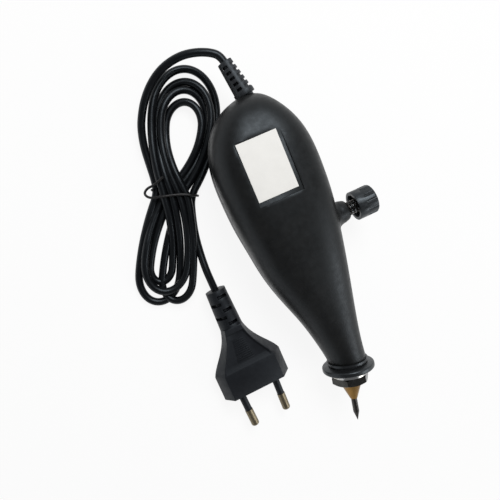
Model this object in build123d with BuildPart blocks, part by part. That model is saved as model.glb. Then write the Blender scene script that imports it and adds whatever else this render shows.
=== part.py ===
"""Electric engraving pen: two casing shells round an electromagnet and a vibrating needle arm,
a screw adjuster with an outside spring, a nose nut, and a mains cord tied in a hank.

Millimetres. +X runs along the pen to the nose, +Y points to the adjuster knob and +Z up.
The origin is on the flat belly that the pen lies on, under the middle of the label.
"""
import os
from math import atan2, cos, degrees, pi, radians, sin, sqrt, tan

from build123d import *

os.makedirs("parts", exist_ok=True)

# Casing
MID_Z = 19.0  # height of the parting plane above the table
BELLY_FLAT = 0.4  # depth cut off the belly, so that the pen lies flat
BELLY_HALF_WIDTH = 24.2
BELLY_Y = -0.4  # the belly's middle, off the pen's axis
BELLY_POWER = 3.2  # squareness of the belly's section, 2 is an ellipse
NECK_RADIUS = 9.3
WALL = 2.2
CUT_OVER = 1.0  # how far a cut runs past the face that it opens
DOME_START_X = 2.0  # the belly's rear end, where the domed rear begins
DOME_LENGTH = 34.6
DOME_ANGLES = (0.0, 22.0, 40.0, 56.0, 69.0, 80.0)  # stations of the dome, the last one is its flat end
DOME_DEEPER = 1.25  # most that the dome's depth may outrun its width
DOME_POWER = 2.6  # fullness of the dome from the side, 2 is an ellipse
DOME_SHIFT = 3.85  # sideways shift of the rear end, towards the knob
DOME_SHIFT_POWER = 8  # the shift comes late, close to the rear end
TAPER_START_X = 11.0
TAPER = (  # share of the way to the nose, share of the way out from neck to belly, sideways place
    (0.0, 1.0, BELLY_Y),
    (0.12, 0.965, BELLY_Y),
    (0.26, 0.865, BELLY_Y),
    (0.40, 0.74, -0.55),
    (0.56, 0.53, 0.0),
    (0.73, 0.27, 0.95),
    (0.88, 0.09, 1.25),
)
TURN_POWER = 4  # the sections turn to the nose's line late, close to the neck
SECTION_POINTS = 16

# Nose: a straight line of parts, turned away from the pen's own axis
NOSE_X = 105.5
NOSE_Y = 0.6
NOSE_TURN = 12.0
COLLAR_RADIUS = 12.8
COLLAR_THICKNESS = 2.5
COLLAR_STEM = 2.6  # the collar's short stem, behind the flange
COLLAR_BEAD = 0.7  # ring on the stem, above the neck
COLLAR_BEAD_LENGTH = 1.1
COLLAR_SLOPE = 0.75  # the flange's back leans forward by this much
SLEEVE_RADIUS = 6.0
SLEEVE_BORE = 5.3
SLEEVE_FLANGE = 7.0
SLEEVE_FLANGE_THICKNESS = 2.8
SLEEVE_LEDGE = 3.5  # neck wall between the sleeve's flange and the neck's end
NOSE_RING_THICKNESS = 2.4
NOSE_RING_RADIUS = 8.9
NUT_FLATS = 16.4
NUT_HEIGHT = 4.0
NUT_CHAMFER = 0.6  # slope of the nut's chamfer
SLEEVE_SHORT = 0.6  # how far the sleeve stays inside the nut
HOLDER_RADIUS = 4.3
HOLDER_CONE_RADIUS = 5.4  # the cone's foot, in front of the nut
HOLDER_CONE_GAP = 0.4
HOLDER_TIP_RADIUS = 1.8
HOLDER_CONE = 9.0
HOLDER_TAIL = 8.0  # holder behind the collar's middle
NEEDLE_RADIUS = 1.5
NEEDLE_OUT = 11.8
NEEDLE_POINT = 4.7
NEEDLE_TIP = 0.1  # the blunt end of the point
NEEDLE_TIP_RADIUS = 0.12
NEEDLE_IN = 9.0

# Vibrating arm, along the nose line
PIVOT_BACK = 87.5  # pivot pin behind the collar's middle
PIVOT_RADIUS = 1.25
EYE_RADIUS = 2.1
ARM_HALF_THICKNESS = 1.5
ARM_HALF_HEIGHT = 4.0
ARM_TANG_RADIUS = 2.0
ARM_TANG = 7.0
ARMATURE_THICKNESS = 2.7
AIR_GAP = 0.8
RIVET_RADIUS = 1.2
RIVET_INSET = 6.0
RIVET_HEAD = 0.8
PIVOT_BOSS_RADIUS = 2.6
PIVOT_BOSS_GAP = 0.4
PIVOT_SOCKET = 3.8

# Electromagnet
CORE_FRONT = 53.0  # front of the core behind the collar's middle
CORE_OUTER_LEG = 5.0
CORE_MIDDLE_LEG = 10.0
CORE_WINDOW = 6.0
CORE_BACK = 6.0
CORE_LEG_LENGTH = 14.0
CORE_HALF_HEIGHT = 7.0
BOBBIN_WALL = 1.0
BOBBIN_CLEAR = 0.15
COIL_DEPTH = 4.2
COIL_INSET = 0.2
CORE_SCREW_RADIUS = 1.5
CORE_SCREW_INSET = 3.0
CORE_BOSS_RADIUS = 3.4
SCREW_HEAD_RADIUS = 2.7
SCREW_HEAD_HEIGHT = 2.0
CORE_SCREW_DEPTH = 5.5  # screw below the core

# Stroke adjuster, along +Y
ADJUST_X = 34.2
BOSS_RADIUS = 5.5
BOSS_END_RADIUS = 4.6
BOSS_END_Y = 29.2
BOSS_FLARE = 4.0
BOSS_FLARE_START = BELLY_HALF_WIDTH - BOSS_FLARE
BOSS_FLARE_Y = 26.0
BOSS_ROUND = 1.2
THREAD_RADIUS = 2.5
THREAD_CLEAR = 0.05
INSERT_RADIUS = 3.6
INSERT_LIP = 1.2  # boss wall in front of the brass insert
INSERT_LENGTH = 7.0
INSERT_GROOVE = 0.4
INSERT_GROOVE_FROM = 0.4  # shares of the insert's length
INSERT_GROOVE_TO = 0.6
BOSS_HOLE_RADIUS = 2.7
KNOB_RADIUS = 7.1
KNOB_GAP = 3.8  # knob's rim to the boss
KNOB_LENGTH = 10.2
KNOB_WALL = 1.5
KNOB_CUP = 6.4
KNOB_ROUND = 1.0
KNOB_FLUTES = 12
FLUTE_RADIUS = 1.0
FLUTE_DEPTH = 0.7
FLUTE_LENGTH = 6.0
SCREW_IN_KNOB = 2.8
SCREW_CHAMFER = 0.4
SCREW_TIP_GAP = 4.9  # screw tip to the spring cup on the arm
WASHER_THICKNESS = 0.6
WASHER_RADIUS = 5.0
WASHER_CLEAR = 0.1
SPRING_WIRE = 0.8
SPRING_MEAN_RADIUS = 3.05
SPRING_TURNS = 6
PRELOAD_WIRE = 0.5
PRELOAD_MEAN_RADIUS = 1.8
PRELOAD_TURNS = 4
CUP_RADIUS = 2.6
CUP_HEIGHT = 1.3
RETURN_BACK = 47.0  # return spring behind the collar's middle
RETURN_WIRE = 0.6
RETURN_MEAN_RADIUS = 2.0
RETURN_TURNS = 4
RETURN_LENGTH = 6.5
POST_THICKNESS = 3.0
POST_WIDTH = 6.0
POST_TOP = 3.2

# Casing screws: X, Y
CASING_SCREWS = ((-10.0, -14.0), (1.0, 16.5), (70.0, -5.0))
CASING_BOSS_RADIUS = 3.4
CASING_SCREW_RADIUS = 1.4
CASING_HEAD_BELOW = 8.0  # head's seat below the parting plane
CASING_SCREW_ABOVE = 8.0
SCREW_HOLE_CLEAR = 0.05
SCREW_HOLE_DEEPER = 0.5
SCREW_CROSS = 3.4
SCREW_CROSS_WIDTH = 0.7
SCREW_CROSS_DEPTH = 1.2

# Label
LABEL_LENGTH = 26.2
LABEL_WIDTH = 18.7
LABEL_Y = -3.2
LABEL_TILT = 3.0
LABEL_SINK = 1.35  # label's face below the casing's crown
LABEL_THICKNESS = 0.3
LABEL_ROOM_KNOB = 1.8  # the recess runs past the label on its four sides
LABEL_ROOM_FAR = 0.5
LABEL_ROOM_NOSE = 2.0
LABEL_ROOM_REAR = 0.25

# Cord, its boot and its clamp
CORD_RADIUS = 1.85
BOOT_X = -32.4
BOOT_Y = 4.4
BOOT_TURN = 11.0
BOOT_LENGTH = 17.0
BOOT_BASE_RADIUS = 4.5
BOOT_TIP_RADIUS = 3.4
BOOT_COLLAR_RADIUS = 4.85
BOOT_COLLAR = 2.2
BOOT_NECK_RADIUS = 3.6
BOOT_NECK = 2.6
BOOT_FLANGE_RADIUS = 4.7
BOOT_FLANGE = 2.0
BOOT_CLEAR = 0.1
SEAT_WALL = 1.6  # ring of casing round the boot's flange
SEAT_OUT = 4.0  # room cut outwards past the rear wall's curve
SEAT_IN = 3.0  # room cut inwards past a seat
BOOT_SLOTS = 5
BOOT_SLOT = 1.25
BOOT_SLOT_PITCH = 2.75
BOOT_SLOT_START = 2.7
BOOT_SIDE = 0.4  # least wall left outside the boot's pockets
BOOT_RIB = 0.9  # height of the ribs on the boot's other side
BOOT_CORE_RADIUS = 2.35
BOOT_SPINE = 1.8
CORD_INSIDE = 25.0  # cord inside the casing, behind the boot's seat
CLAMP_START = 13.0
CLAMP_LENGTH = 6.0
CLAMP_HALF_WIDTH = 8.5
CLAMP_THICKNESS = 4.0
CLAMP_GAP = 0.5
CLAMP_SCREW_OUT = 5.6
CLAMP_SCREW_RADIUS = 1.2
CLAMP_SCREW_DEPTH = 5.5
CLAMP_SCREW_HEAD = 1.5
WIRE_RADIUS = 0.8
WIRE_SPACING = 2.0
WIRE_CLEAR = 1.1
WIRE_RUN = 4.5
WIRE_BEND = 5.0

# Hank: a figure of eight tied at its waist, in a frame of its own
HANK_X = -5.9
HANK_Y = -43.9
HANK_TURN = 55.0
HANK_LOOPS = 4
HANK_STEP = 4.85  # strand to strand at the waist
HANK_LEAN = 0.36
HANK_CROSS = 21.5  # half the crossing's length
HANK_SPREAD = 32.6
HANK_WIDTH = 15.0  # half width of the outermost loop
HANK_WIDTH_STEP = 3.0
HANK_SHOULDER = 45.5
HANK_SHOULDER_STEP = 2.1
HANK_BOTTOM_SHORT = 4.9
HANK_ROUND = 1.05
HANK_EASE = 0.1
HANK_FAN = 0.78
HANK_LAYER = 4.7
HANK_LOOP_LAYER = 4.5
HANK_LIFT = 1.5  # the tie passes under the waist
HANK_LEAD_OUT = 1.22  # how far out the two ends cross
HANK_TAIL_OUT = 1.17
HANK_LEFT = 0.88  # the loops are narrower on their left
HANK_LEAD = 4.0
HANK_LEAD_LIFT = 0.4
FLOOR_CLEAR = 0.05
GAP_STEP = 2.0  # points along the cord for measuring its least gap
GAP_APART = 3.2  # diameters of cord between two points that are compared

# Free cord: first run of each end, and the lead's corners measured from the boot's tip
LEAD_RUN = 6.4
LEAD_ROUTE = (
    (-11.2, -5.1, -1.0),
    (-14.2, -11.4, -3.9),
    (-14.5, -19.5, -8.2),
    (-13.1, -27.0, -12.4),
    (-11.3, -31.6, -14.9),
)
TAIL_RUN = 5.2
BEND_SHARE = 0.45  # share of a run that its bend takes up

# Wire tie round the waist
TIE_RADIUS = 0.65
TIE_CLEAR = 0.5
TIE_SIDE = 1.4
TIE_LOOP = 3.0
TIE_END_OUT = 6.0
TIE_ALONG = (9.0, 4.5, 2.2, -1.6, -3.2, 0.6, 1.2, 1.6, 1.8)  # the tie's corners along the hank
TIE_RISE = (1.2, 0.4, -0.6, -0.8, 0.0, 0.0)  # its first corners above the waist's top
TIE_TAIL_DOWN = 3.6

# Plug
PLUG_Y = -43.2
PLUG_TAIL_X = 45.2
PLUG_TAIL = 19.0
PLUG_TAIL_RADIUS = 5.0
PLUG_NECK_RADIUS = 5.7
PLUG_BODY = 33.6
PLUG_FRONT = 12.6
PLUG_WIDTH = 35.0
PLUG_FLAT = 26.5
PLUG_THICKNESS = 13.7
PLUG_SIDES = ((0.0, 1.0), (0.22, 0.84), (0.5, 0.58), (0.8, 0.385), (1.0, 0.32))
PANEL_DEPTH = 1.1
PANEL_SIDES = ((0.04, 0.97), (0.12, 0.91), (0.22, 0.84), (0.5, 0.58), (0.8, 0.385), (0.87, 0.362))
PANEL_RIM = 0.5  # flat left beside the panel
RIDGES = 11
RIDGE_PITCH = 1.05
RIDGE_WIDTH = 0.5
RIDGE_HEIGHT = 0.4
RIDGE_LENGTH = 8.6
RIDGE_SHORTER = 0.34  # each ridge against the one in front of it
RIDGE_START = 3.9  # first ridge behind the widest place
TAIL_OVERLAP = 4.0  # round tail inside the body
TAIL_SLOT = 1.6
TAIL_SLOTS = 5
TAIL_SLOT_PITCH = 3.4
TAIL_SLOT_START = 2.4
TAIL_SLOT_WIDE = (4.6, 6.2)  # across the tail, for the slots in the top and in the side
TAIL_SLOT_OFF = (1.4, -3.5)  # their middles beside the plug's centre line
TAIL_CORE_RADIUS = 3.1
PIN_RADIUS = 2.0
PIN_LENGTH = 19.0
PIN_SLEEVE = 10.0
PIN_SLEEVE_RADIUS = 1.8
PIN_CORE_RADIUS = 1.4
PIN_SPACING = 18.6
PIN_TIP_SPACING = 17.5
PIN_EMBED = 8.0
PIN_ROUND = 1.2

# Heights and frames worked out from the sizes above
BELLY_HALF_DEPTH = MID_Z + BELLY_FLAT
NOSE_DIR = Vector(cos(radians(NOSE_TURN)), -sin(radians(NOSE_TURN)), 0)
NOSE = Plane(origin=(NOSE_X, NOSE_Y, MID_Z), x_dir=NOSE_DIR, z_dir=(0, 0, 1))
NOSE_AXIS = Axis(NOSE.origin, NOSE.x_dir)
NECK_END = -(COLLAR_THICKNESS / 2 + COLLAR_STEM)
FLANGE_FRONT = NECK_END - SLEEVE_LEDGE
FLANGE_BACK = FLANGE_FRONT - SLEEVE_FLANGE_THICKNESS
NUT_BACK = COLLAR_THICKNESS / 2 + NOSE_RING_THICKNESS
NUT_FRONT = NUT_BACK + NUT_HEIGHT
BOOT_OUT = Vector(-cos(radians(BOOT_TURN)), -sin(radians(BOOT_TURN)), 0)
BOOT = Plane(origin=(BOOT_X, BOOT_Y, MID_Z), x_dir=BOOT_OUT, z_dir=(0, 0, 1))
BOOT_AXIS = Axis(BOOT.origin, BOOT.x_dir)
ADJUST = Plane(origin=(ADJUST_X, 0, MID_Z), x_dir=(0, 1, 0), z_dir=(0, 0, 1))
ADJUST_AXIS = Axis(ADJUST.origin, ADJUST.x_dir)
HANK = Plane(
    origin=(HANK_X, HANK_Y, 0),
    x_dir=(cos(radians(HANK_TURN)), sin(radians(HANK_TURN)), 0),
    z_dir=(0, 0, 1),
)
PLUG_Z = PLUG_THICKNESS / 2
PLUG = Plane(origin=(PLUG_TAIL_X, PLUG_Y, PLUG_Z), x_dir=(1, 0, 0), z_dir=(0, 0, 1))
PARTING = Plane.XY.offset(MID_Z)


def across(plane, along):
    """Plane square to a part's axis, a distance along it from the plane's origin."""
    point = plane.from_local_coords(Vector(along, 0, 0))
    return Plane(origin=point, x_dir=plane.y_dir, z_dir=plane.x_dir)


def finish(builder, label):
    """Labels a finished piece and writes its file."""
    builder.part.label = label
    export_step(builder.part, f"parts/{label}.step")


def section_points(half_width, half_depth, power):
    """Points of a superellipse, evenly spread in angle."""
    points = []
    for step in range(SECTION_POINTS):
        angle = 2 * pi * step / SECTION_POINTS
        c = cos(angle)
        s = sin(angle)
        radius = (abs(c) ** power + abs(s) ** power) ** (-1 / power)
        points.append((half_width * radius * c, half_depth * radius * s))
    return points


def casing_stations(inset):
    """Plane, half width, half depth and squareness of each casing section, from rear to nose."""
    stations = []
    half_width = BELLY_HALF_WIDTH - inset
    half_depth = BELLY_HALF_DEPTH - inset
    length = DOME_LENGTH - inset
    for angle in reversed(DOME_ANGLES):
        s = sin(radians(angle))
        c = cos(radians(angle))
        share = (1 - s**DOME_POWER) ** (1 / DOME_POWER)
        centre = (DOME_START_X - length * s, BELLY_Y + DOME_SHIFT * s**DOME_SHIFT_POWER, MID_Z)
        power = 2 + (BELLY_POWER - 2) * c
        depth = half_depth * min(share, DOME_DEEPER * c)
        plane = Plane(origin=centre, x_dir=(0, 1, 0), z_dir=(1, 0, 0))
        stations.append((plane, half_width * c, depth, power))
    neck = NECK_RADIUS - inset
    neck_end = NOSE.from_local_coords(Vector(NECK_END, 0, 0))
    for along, share, y in TAPER:
        x = TAPER_START_X + along * (neck_end.X - TAPER_START_X)
        turn = radians(NOSE_TURN) * along**TURN_POWER
        plane = Plane(origin=(x, y, MID_Z), x_dir=(sin(turn), cos(turn), 0), z_dir=(cos(turn), -sin(turn), 0))
        width = neck + share * (half_width - neck)
        depth = neck + share * (half_depth - neck)
        stations.append((plane, width, depth, 2 + (BELLY_POWER - 2) * share))
    stations.append((across(NOSE, NECK_END), neck, neck, 2))
    return stations


def casing_form(inset):
    """Solid of the casing's outside, or of its hollow when inset by the wall."""
    with BuildPart() as form:
        for plane, half_width, half_depth, power in casing_stations(inset):
            with BuildSketch(plane):
                with BuildLine():
                    Spline(*section_points(half_width, half_depth, power), periodic=True)
                make_face()
        loft()
    return form.part


def biarc_path(points, tangents):
    """Joins points by pairs of circular arcs that leave and arrive along the given directions."""
    for start, end, leave, arrive in zip(points, points[1:], tangents, tangents[1:]):
        chord = end - start
        both = leave + arrive
        bend = 2 * (1 - leave.dot(arrive))
        if bend < 1e-9:
            reach = chord.dot(chord) / (4 * chord.dot(arrive))
        else:
            along = chord.dot(both)
            reach = (-along + sqrt(along**2 + bend * chord.dot(chord))) / bend
        middle = (start + end + (leave - arrive) * reach) / 2
        join = (end - start - both * reach).normalized()
        for first, last, direction in ((start, middle, leave), (middle, end, join)):
            run = last - first
            if run.cross(direction).length < 1e-6 * run.length:
                Line(first, last)
            else:
                TangentArc(first, last, tangent=direction)


def chord_tangents(points):
    """Direction at each point: the nearer neighbour's chord counts for more."""
    tangents = [(points[1] - points[0]).normalized()]
    for before, here, after in zip(points, points[1:], points[2:]):
        back = here - before
        ahead = after - here
        mean = back.normalized() * ahead.length + ahead.normalized() * back.length
        tangents.append(mean.normalized())
    tangents.append((points[-1] - points[-2]).normalized())
    return tangents


def helix_spring(plane, start, length, mean_radius, wire, turns):
    """Open coil spring round a plane's x axis, from start over length, as one unbroken tube."""
    quarter = 4
    points = []
    tangents = []
    rise = (length - wire) / (turns * quarter)
    for step in range(turns * quarter + 1):
        angle = 2 * pi * step / quarter
        local = Vector(start + wire / 2 + rise * step, mean_radius * cos(angle), mean_radius * sin(angle))
        slope = rise * quarter / (2 * pi)
        lead = Vector(slope, -mean_radius * sin(angle), mean_radius * cos(angle))
        points.append(plane.from_local_coords(local))
        tangents.append((plane.from_local_coords(lead) - plane.origin).normalized())
    with BuildPart() as spring:
        with BuildLine() as route:
            biarc_path(points, tangents)
        with BuildSketch(Plane(origin=points[0], z_dir=tangents[0])):
            Circle(wire / 2)
        sweep(path=route.wires()[0])
    return spring


outer_form = casing_form(0)
inner_form = casing_form(WALL)

# Places inside the casing that both shells and the pieces they carry are made from
core_length = 2 * CORE_OUTER_LEG + CORE_MIDDLE_LEG + 2 * CORE_WINDOW
core_back = -(CORE_FRONT + core_length)
core_middle = core_back + core_length / 2
armature_face = -(ARM_HALF_THICKNESS + ARMATURE_THICKNESS)
pole_face = armature_face - AIR_GAP
core_inner = pole_face - CORE_LEG_LENGTH
core_outer = core_inner - CORE_BACK
pivot = NOSE.from_local_coords(Vector(-PIVOT_BACK, 0, 0))
pivot_boss_start = ARM_HALF_HEIGHT + PIVOT_BOSS_GAP
core_screw_places = [
    NOSE.from_local_coords(Vector(core_back + CORE_SCREW_INSET, core_outer + CORE_SCREW_INSET, 0)),
    NOSE.from_local_coords(Vector(-CORE_FRONT - CORE_SCREW_INSET, core_outer + CORE_SCREW_INSET, 0)),
]
clamp_screw_places = [
    BOOT.from_local_coords(Vector(-CLAMP_START - CLAMP_LENGTH / 2, side * CLAMP_SCREW_OUT, 0))
    for side in (-1, 1)
]
post_face = -(ARM_HALF_THICKNESS + RETURN_LENGTH)
insert_end = BOSS_END_Y - INSERT_LIP
insert_start = insert_end - INSERT_LENGTH
boss_slope = (BOSS_RADIUS - BOSS_END_RADIUS) / (BOSS_END_Y - BOSS_FLARE_Y)

# Casing halves before they are parted: shell, adjuster boss and rear seat
with BuildPart() as casing:
    add(outer_form)
    with BuildSketch(ADJUST):
        with BuildLine():
            Polyline(
                (0, 0),
                (0, BOSS_RADIUS + BOSS_FLARE),
                (BOSS_FLARE_START, BOSS_RADIUS + BOSS_FLARE),
            )
            Bezier(
                (BOSS_FLARE_START, BOSS_RADIUS + BOSS_FLARE),
                (BOSS_FLARE_START + BOSS_FLARE / 2, BOSS_RADIUS),
                (BOSS_FLARE_Y, BOSS_RADIUS),
            )
            Line(
                (BOSS_FLARE_Y, BOSS_RADIUS),
                (BOSS_END_Y - BOSS_ROUND, BOSS_END_RADIUS + boss_slope * BOSS_ROUND),
            )
            Bezier(
                (BOSS_END_Y - BOSS_ROUND, BOSS_END_RADIUS + boss_slope * BOSS_ROUND),
                (BOSS_END_Y, BOSS_END_RADIUS),
                (BOSS_END_Y, BOSS_END_RADIUS - BOSS_ROUND),
            )
            Polyline((BOSS_END_Y, BOSS_END_RADIUS - BOSS_ROUND), (BOSS_END_Y, 0), (0, 0))
        make_face()
    revolve(axis=ADJUST_AXIS)
    add(inner_form, mode=Mode.SUBTRACT)

# Bosses and posts that stand inside the shells, cut to the casing's outside
with BuildPart() as lower_posts:
    with BuildSketch(Plane.XY):
        with Locations(*CASING_SCREWS):
            Circle(CASING_BOSS_RADIUS)
    extrude(amount=MID_Z)
    with BuildSketch(Plane.XY):
        with Locations(*[(p.X, p.Y) for p in core_screw_places]):
            Circle(CORE_BOSS_RADIUS)
    extrude(amount=MID_Z - CORE_HALF_HEIGHT)
    with BuildSketch(Plane.XY):
        with Locations((pivot.X, pivot.Y)):
            Circle(PIVOT_BOSS_RADIUS)
    extrude(amount=MID_Z - pivot_boss_start)
    with BuildSketch(Plane(origin=(BOOT_X, BOOT_Y, 0), x_dir=BOOT.x_dir, z_dir=(0, 0, 1))):
        with Locations((-CLAMP_START - CLAMP_LENGTH / 2, 0)):
            Rectangle(CLAMP_LENGTH, 2 * CLAMP_HALF_WIDTH)
    extrude(amount=MID_Z - CLAMP_GAP / 2)
    with BuildSketch(Plane(origin=(NOSE_X, NOSE_Y, 0), x_dir=NOSE.x_dir, z_dir=(0, 0, 1))):
        with Locations((-RETURN_BACK, post_face - POST_THICKNESS / 2)):
            Rectangle(POST_WIDTH, POST_THICKNESS)
    extrude(amount=MID_Z + POST_TOP)
    add(outer_form, mode=Mode.INTERSECT)

with BuildPart() as upper_posts:
    with BuildSketch(PARTING):
        with Locations(*CASING_SCREWS):
            Circle(CASING_BOSS_RADIUS)
    extrude(amount=BELLY_HALF_DEPTH)
    with BuildSketch(PARTING.offset(pivot_boss_start)):
        with Locations((pivot.X, pivot.Y)):
            Circle(PIVOT_BOSS_RADIUS)
    extrude(amount=BELLY_HALF_DEPTH)
    add(outer_form, mode=Mode.INTERSECT)

# Ring that carries the boot, inside the rear wall
with BuildPart() as rear_seat:
    with BuildSketch(across(BOOT, -BOOT_NECK - BOOT_CLEAR)):
        Circle(BOOT_FLANGE_RADIUS + SEAT_WALL)
    extrude(amount=BOOT_NECK + BOOT_CLEAR)
    add(outer_form, mode=Mode.INTERSECT)

# Room for the nose sleeve, the boot and the adjuster's insert, cut from both shells
with BuildPart() as fittings_room:
    with BuildSketch(NOSE):
        with BuildLine():
            Polyline(
                (FLANGE_BACK, 0),
                (FLANGE_BACK, SLEEVE_FLANGE + BOOT_CLEAR),
                (FLANGE_FRONT, SLEEVE_FLANGE + BOOT_CLEAR),
                (FLANGE_FRONT, SLEEVE_RADIUS + THREAD_CLEAR),
                (NECK_END + CUT_OVER, SLEEVE_RADIUS + THREAD_CLEAR),
                (NECK_END + CUT_OVER, 0),
                close=True,
            )
        make_face()
    revolve(axis=NOSE_AXIS)
    with BuildSketch(BOOT):
        with BuildLine():
            Polyline(
                (BOOT_COLLAR + SEAT_OUT, 0),
                (BOOT_COLLAR + SEAT_OUT, BOOT_COLLAR_RADIUS + BOOT_CLEAR),
                (0, BOOT_COLLAR_RADIUS + BOOT_CLEAR),
                (0, BOOT_NECK_RADIUS + BOOT_CLEAR),
                (-BOOT_NECK, BOOT_NECK_RADIUS + BOOT_CLEAR),
                (-BOOT_NECK, BOOT_FLANGE_RADIUS + BOOT_CLEAR),
                (-BOOT_NECK - BOOT_FLANGE - SEAT_IN, BOOT_FLANGE_RADIUS + BOOT_CLEAR),
                (-BOOT_NECK - BOOT_FLANGE - SEAT_IN, 0),
                close=True,
            )
        make_face()
    revolve(axis=BOOT_AXIS)
    with BuildSketch(ADJUST):
        with BuildLine():
            Polyline(
                (insert_start - SEAT_IN, 0),
                (insert_start - SEAT_IN, INSERT_RADIUS),
                (insert_end, INSERT_RADIUS),
                (insert_end, BOSS_HOLE_RADIUS),
                (BOSS_END_Y + CUT_OVER, BOSS_HOLE_RADIUS),
                (BOSS_END_Y + CUT_OVER, 0),
                close=True,
            )
        make_face()
    revolve(axis=ADJUST_AXIS)
    with BuildSketch(across(BOOT, -CORD_INSIDE)):
        Circle(CORD_RADIUS + BOOT_CLEAR)
    extrude(amount=CORD_INSIDE)

label_plane = Plane(
    origin=(0, LABEL_Y, MID_Z + BELLY_HALF_DEPTH - LABEL_SINK),
    x_dir=(1, 0, 0),
    z_dir=(0, -sin(radians(LABEL_TILT)), cos(radians(LABEL_TILT))),
)

with BuildPart() as upper_shell:
    add(casing.part)
    add(rear_seat.part)
    split(bisect_by=PARTING, keep=Keep.TOP)
    add(upper_posts.part)
    add(fittings_room.part, mode=Mode.SUBTRACT)
    with BuildSketch(PARTING):
        with Locations(*CASING_SCREWS):
            Circle(CASING_SCREW_RADIUS)
    extrude(amount=CASING_SCREW_ABOVE + SCREW_HOLE_DEEPER, mode=Mode.SUBTRACT)
    with BuildSketch(PARTING.offset(pivot_boss_start)):
        with Locations((pivot.X, pivot.Y)):
            Circle(PIVOT_RADIUS)
    extrude(amount=PIVOT_SOCKET + SCREW_HOLE_CLEAR, mode=Mode.SUBTRACT)
    with BuildSketch(label_plane.offset(-LABEL_THICKNESS)):
        with Locations(((LABEL_ROOM_NOSE - LABEL_ROOM_REAR) / 2, (LABEL_ROOM_KNOB - LABEL_ROOM_FAR) / 2)):
            Rectangle(
                LABEL_LENGTH + LABEL_ROOM_NOSE + LABEL_ROOM_REAR,
                LABEL_WIDTH + LABEL_ROOM_KNOB + LABEL_ROOM_FAR,
            )
    extrude(amount=2 * LABEL_SINK + LABEL_THICKNESS + CUT_OVER, mode=Mode.SUBTRACT)
finish(upper_shell, "upper_shell")

with BuildPart() as lower_shell:
    add(casing.part)
    add(rear_seat.part)
    split(bisect_by=PARTING, keep=Keep.BOTTOM)
    add(lower_posts.part)
    add(fittings_room.part, mode=Mode.SUBTRACT)
    with BuildSketch(Plane.XY.offset(-BELLY_HALF_DEPTH)):
        Rectangle(6 * DOME_LENGTH, 4 * BELLY_HALF_WIDTH)
    extrude(amount=BELLY_HALF_DEPTH, mode=Mode.SUBTRACT)
    with BuildSketch(PARTING):
        with Locations(*CASING_SCREWS):
            Circle(CASING_SCREW_RADIUS + SCREW_HOLE_CLEAR)
    extrude(amount=-MID_Z, mode=Mode.SUBTRACT)
    with BuildSketch(PARTING.offset(-CASING_HEAD_BELOW)):
        with Locations(*CASING_SCREWS):
            Circle(SCREW_HEAD_RADIUS + SCREW_HOLE_CLEAR)
    extrude(amount=-MID_Z, mode=Mode.SUBTRACT)
    with BuildSketch(PARTING.offset(-pivot_boss_start)):
        with Locations((pivot.X, pivot.Y)):
            Circle(PIVOT_RADIUS)
    extrude(amount=-PIVOT_SOCKET - SCREW_HOLE_CLEAR, mode=Mode.SUBTRACT)
    with BuildSketch(PARTING.offset(-CORE_HALF_HEIGHT)):
        with Locations(*[(p.X, p.Y) for p in core_screw_places]):
            Circle(CORE_SCREW_RADIUS)
    extrude(amount=-CORE_SCREW_DEPTH - SCREW_HOLE_DEEPER, mode=Mode.SUBTRACT)
    with BuildSketch(PARTING):
        with Locations(*[(p.X, p.Y) for p in clamp_screw_places]):
            Circle(CLAMP_SCREW_RADIUS)
    extrude(amount=-CLAMP_SCREW_DEPTH - SCREW_HOLE_DEEPER, mode=Mode.SUBTRACT)
finish(lower_shell, "lower_shell")

with BuildPart() as rating_label:
    with BuildSketch(label_plane.offset(-LABEL_THICKNESS)):
        Rectangle(LABEL_LENGTH, LABEL_WIDTH)
    extrude(amount=LABEL_THICKNESS)
finish(rating_label, "rating_label")

with BuildPart() as casing_screws:
    with BuildSketch(PARTING.offset(-CASING_HEAD_BELOW)):
        with Locations(*CASING_SCREWS):
            Circle(CASING_SCREW_RADIUS)
    extrude(amount=CASING_HEAD_BELOW + CASING_SCREW_ABOVE)
    with BuildSketch(PARTING.offset(-CASING_HEAD_BELOW)):
        with Locations(*CASING_SCREWS):
            Circle(SCREW_HEAD_RADIUS)
    extrude(amount=-SCREW_HEAD_HEIGHT)
    with BuildSketch(PARTING.offset(-CASING_HEAD_BELOW - SCREW_HEAD_HEIGHT)):
        with Locations(*CASING_SCREWS):
            Rectangle(SCREW_CROSS, SCREW_CROSS_WIDTH)
            Rectangle(SCREW_CROSS_WIDTH, SCREW_CROSS)
    extrude(amount=SCREW_CROSS_DEPTH, mode=Mode.SUBTRACT)
finish(casing_screws, "casing_screws")

# Nose fittings
with BuildPart() as nose_collar:
    with BuildSketch(NOSE):
        with BuildLine():
            Polyline(
                (NECK_END, SLEEVE_RADIUS + THREAD_CLEAR),
                (NECK_END, NECK_RADIUS + COLLAR_BEAD),
                (NECK_END + COLLAR_BEAD_LENGTH, NECK_RADIUS + COLLAR_BEAD),
                (NECK_END + COLLAR_BEAD_LENGTH, NECK_RADIUS),
                (-COLLAR_THICKNESS / 2 - COLLAR_SLOPE, NECK_RADIUS),
                (-COLLAR_THICKNESS / 2, COLLAR_RADIUS),
                (COLLAR_THICKNESS / 2, COLLAR_RADIUS),
                (COLLAR_THICKNESS / 2, SLEEVE_RADIUS + THREAD_CLEAR),
                close=True,
            )
        make_face()
    revolve(axis=NOSE_AXIS)
    rim = nose_collar.edges().filter_by(GeomType.CIRCLE).sort_by(SortBy.RADIUS)[-2:]
    fillet(rim, COLLAR_THICKNESS / 3)
finish(nose_collar, "nose_collar")

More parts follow.
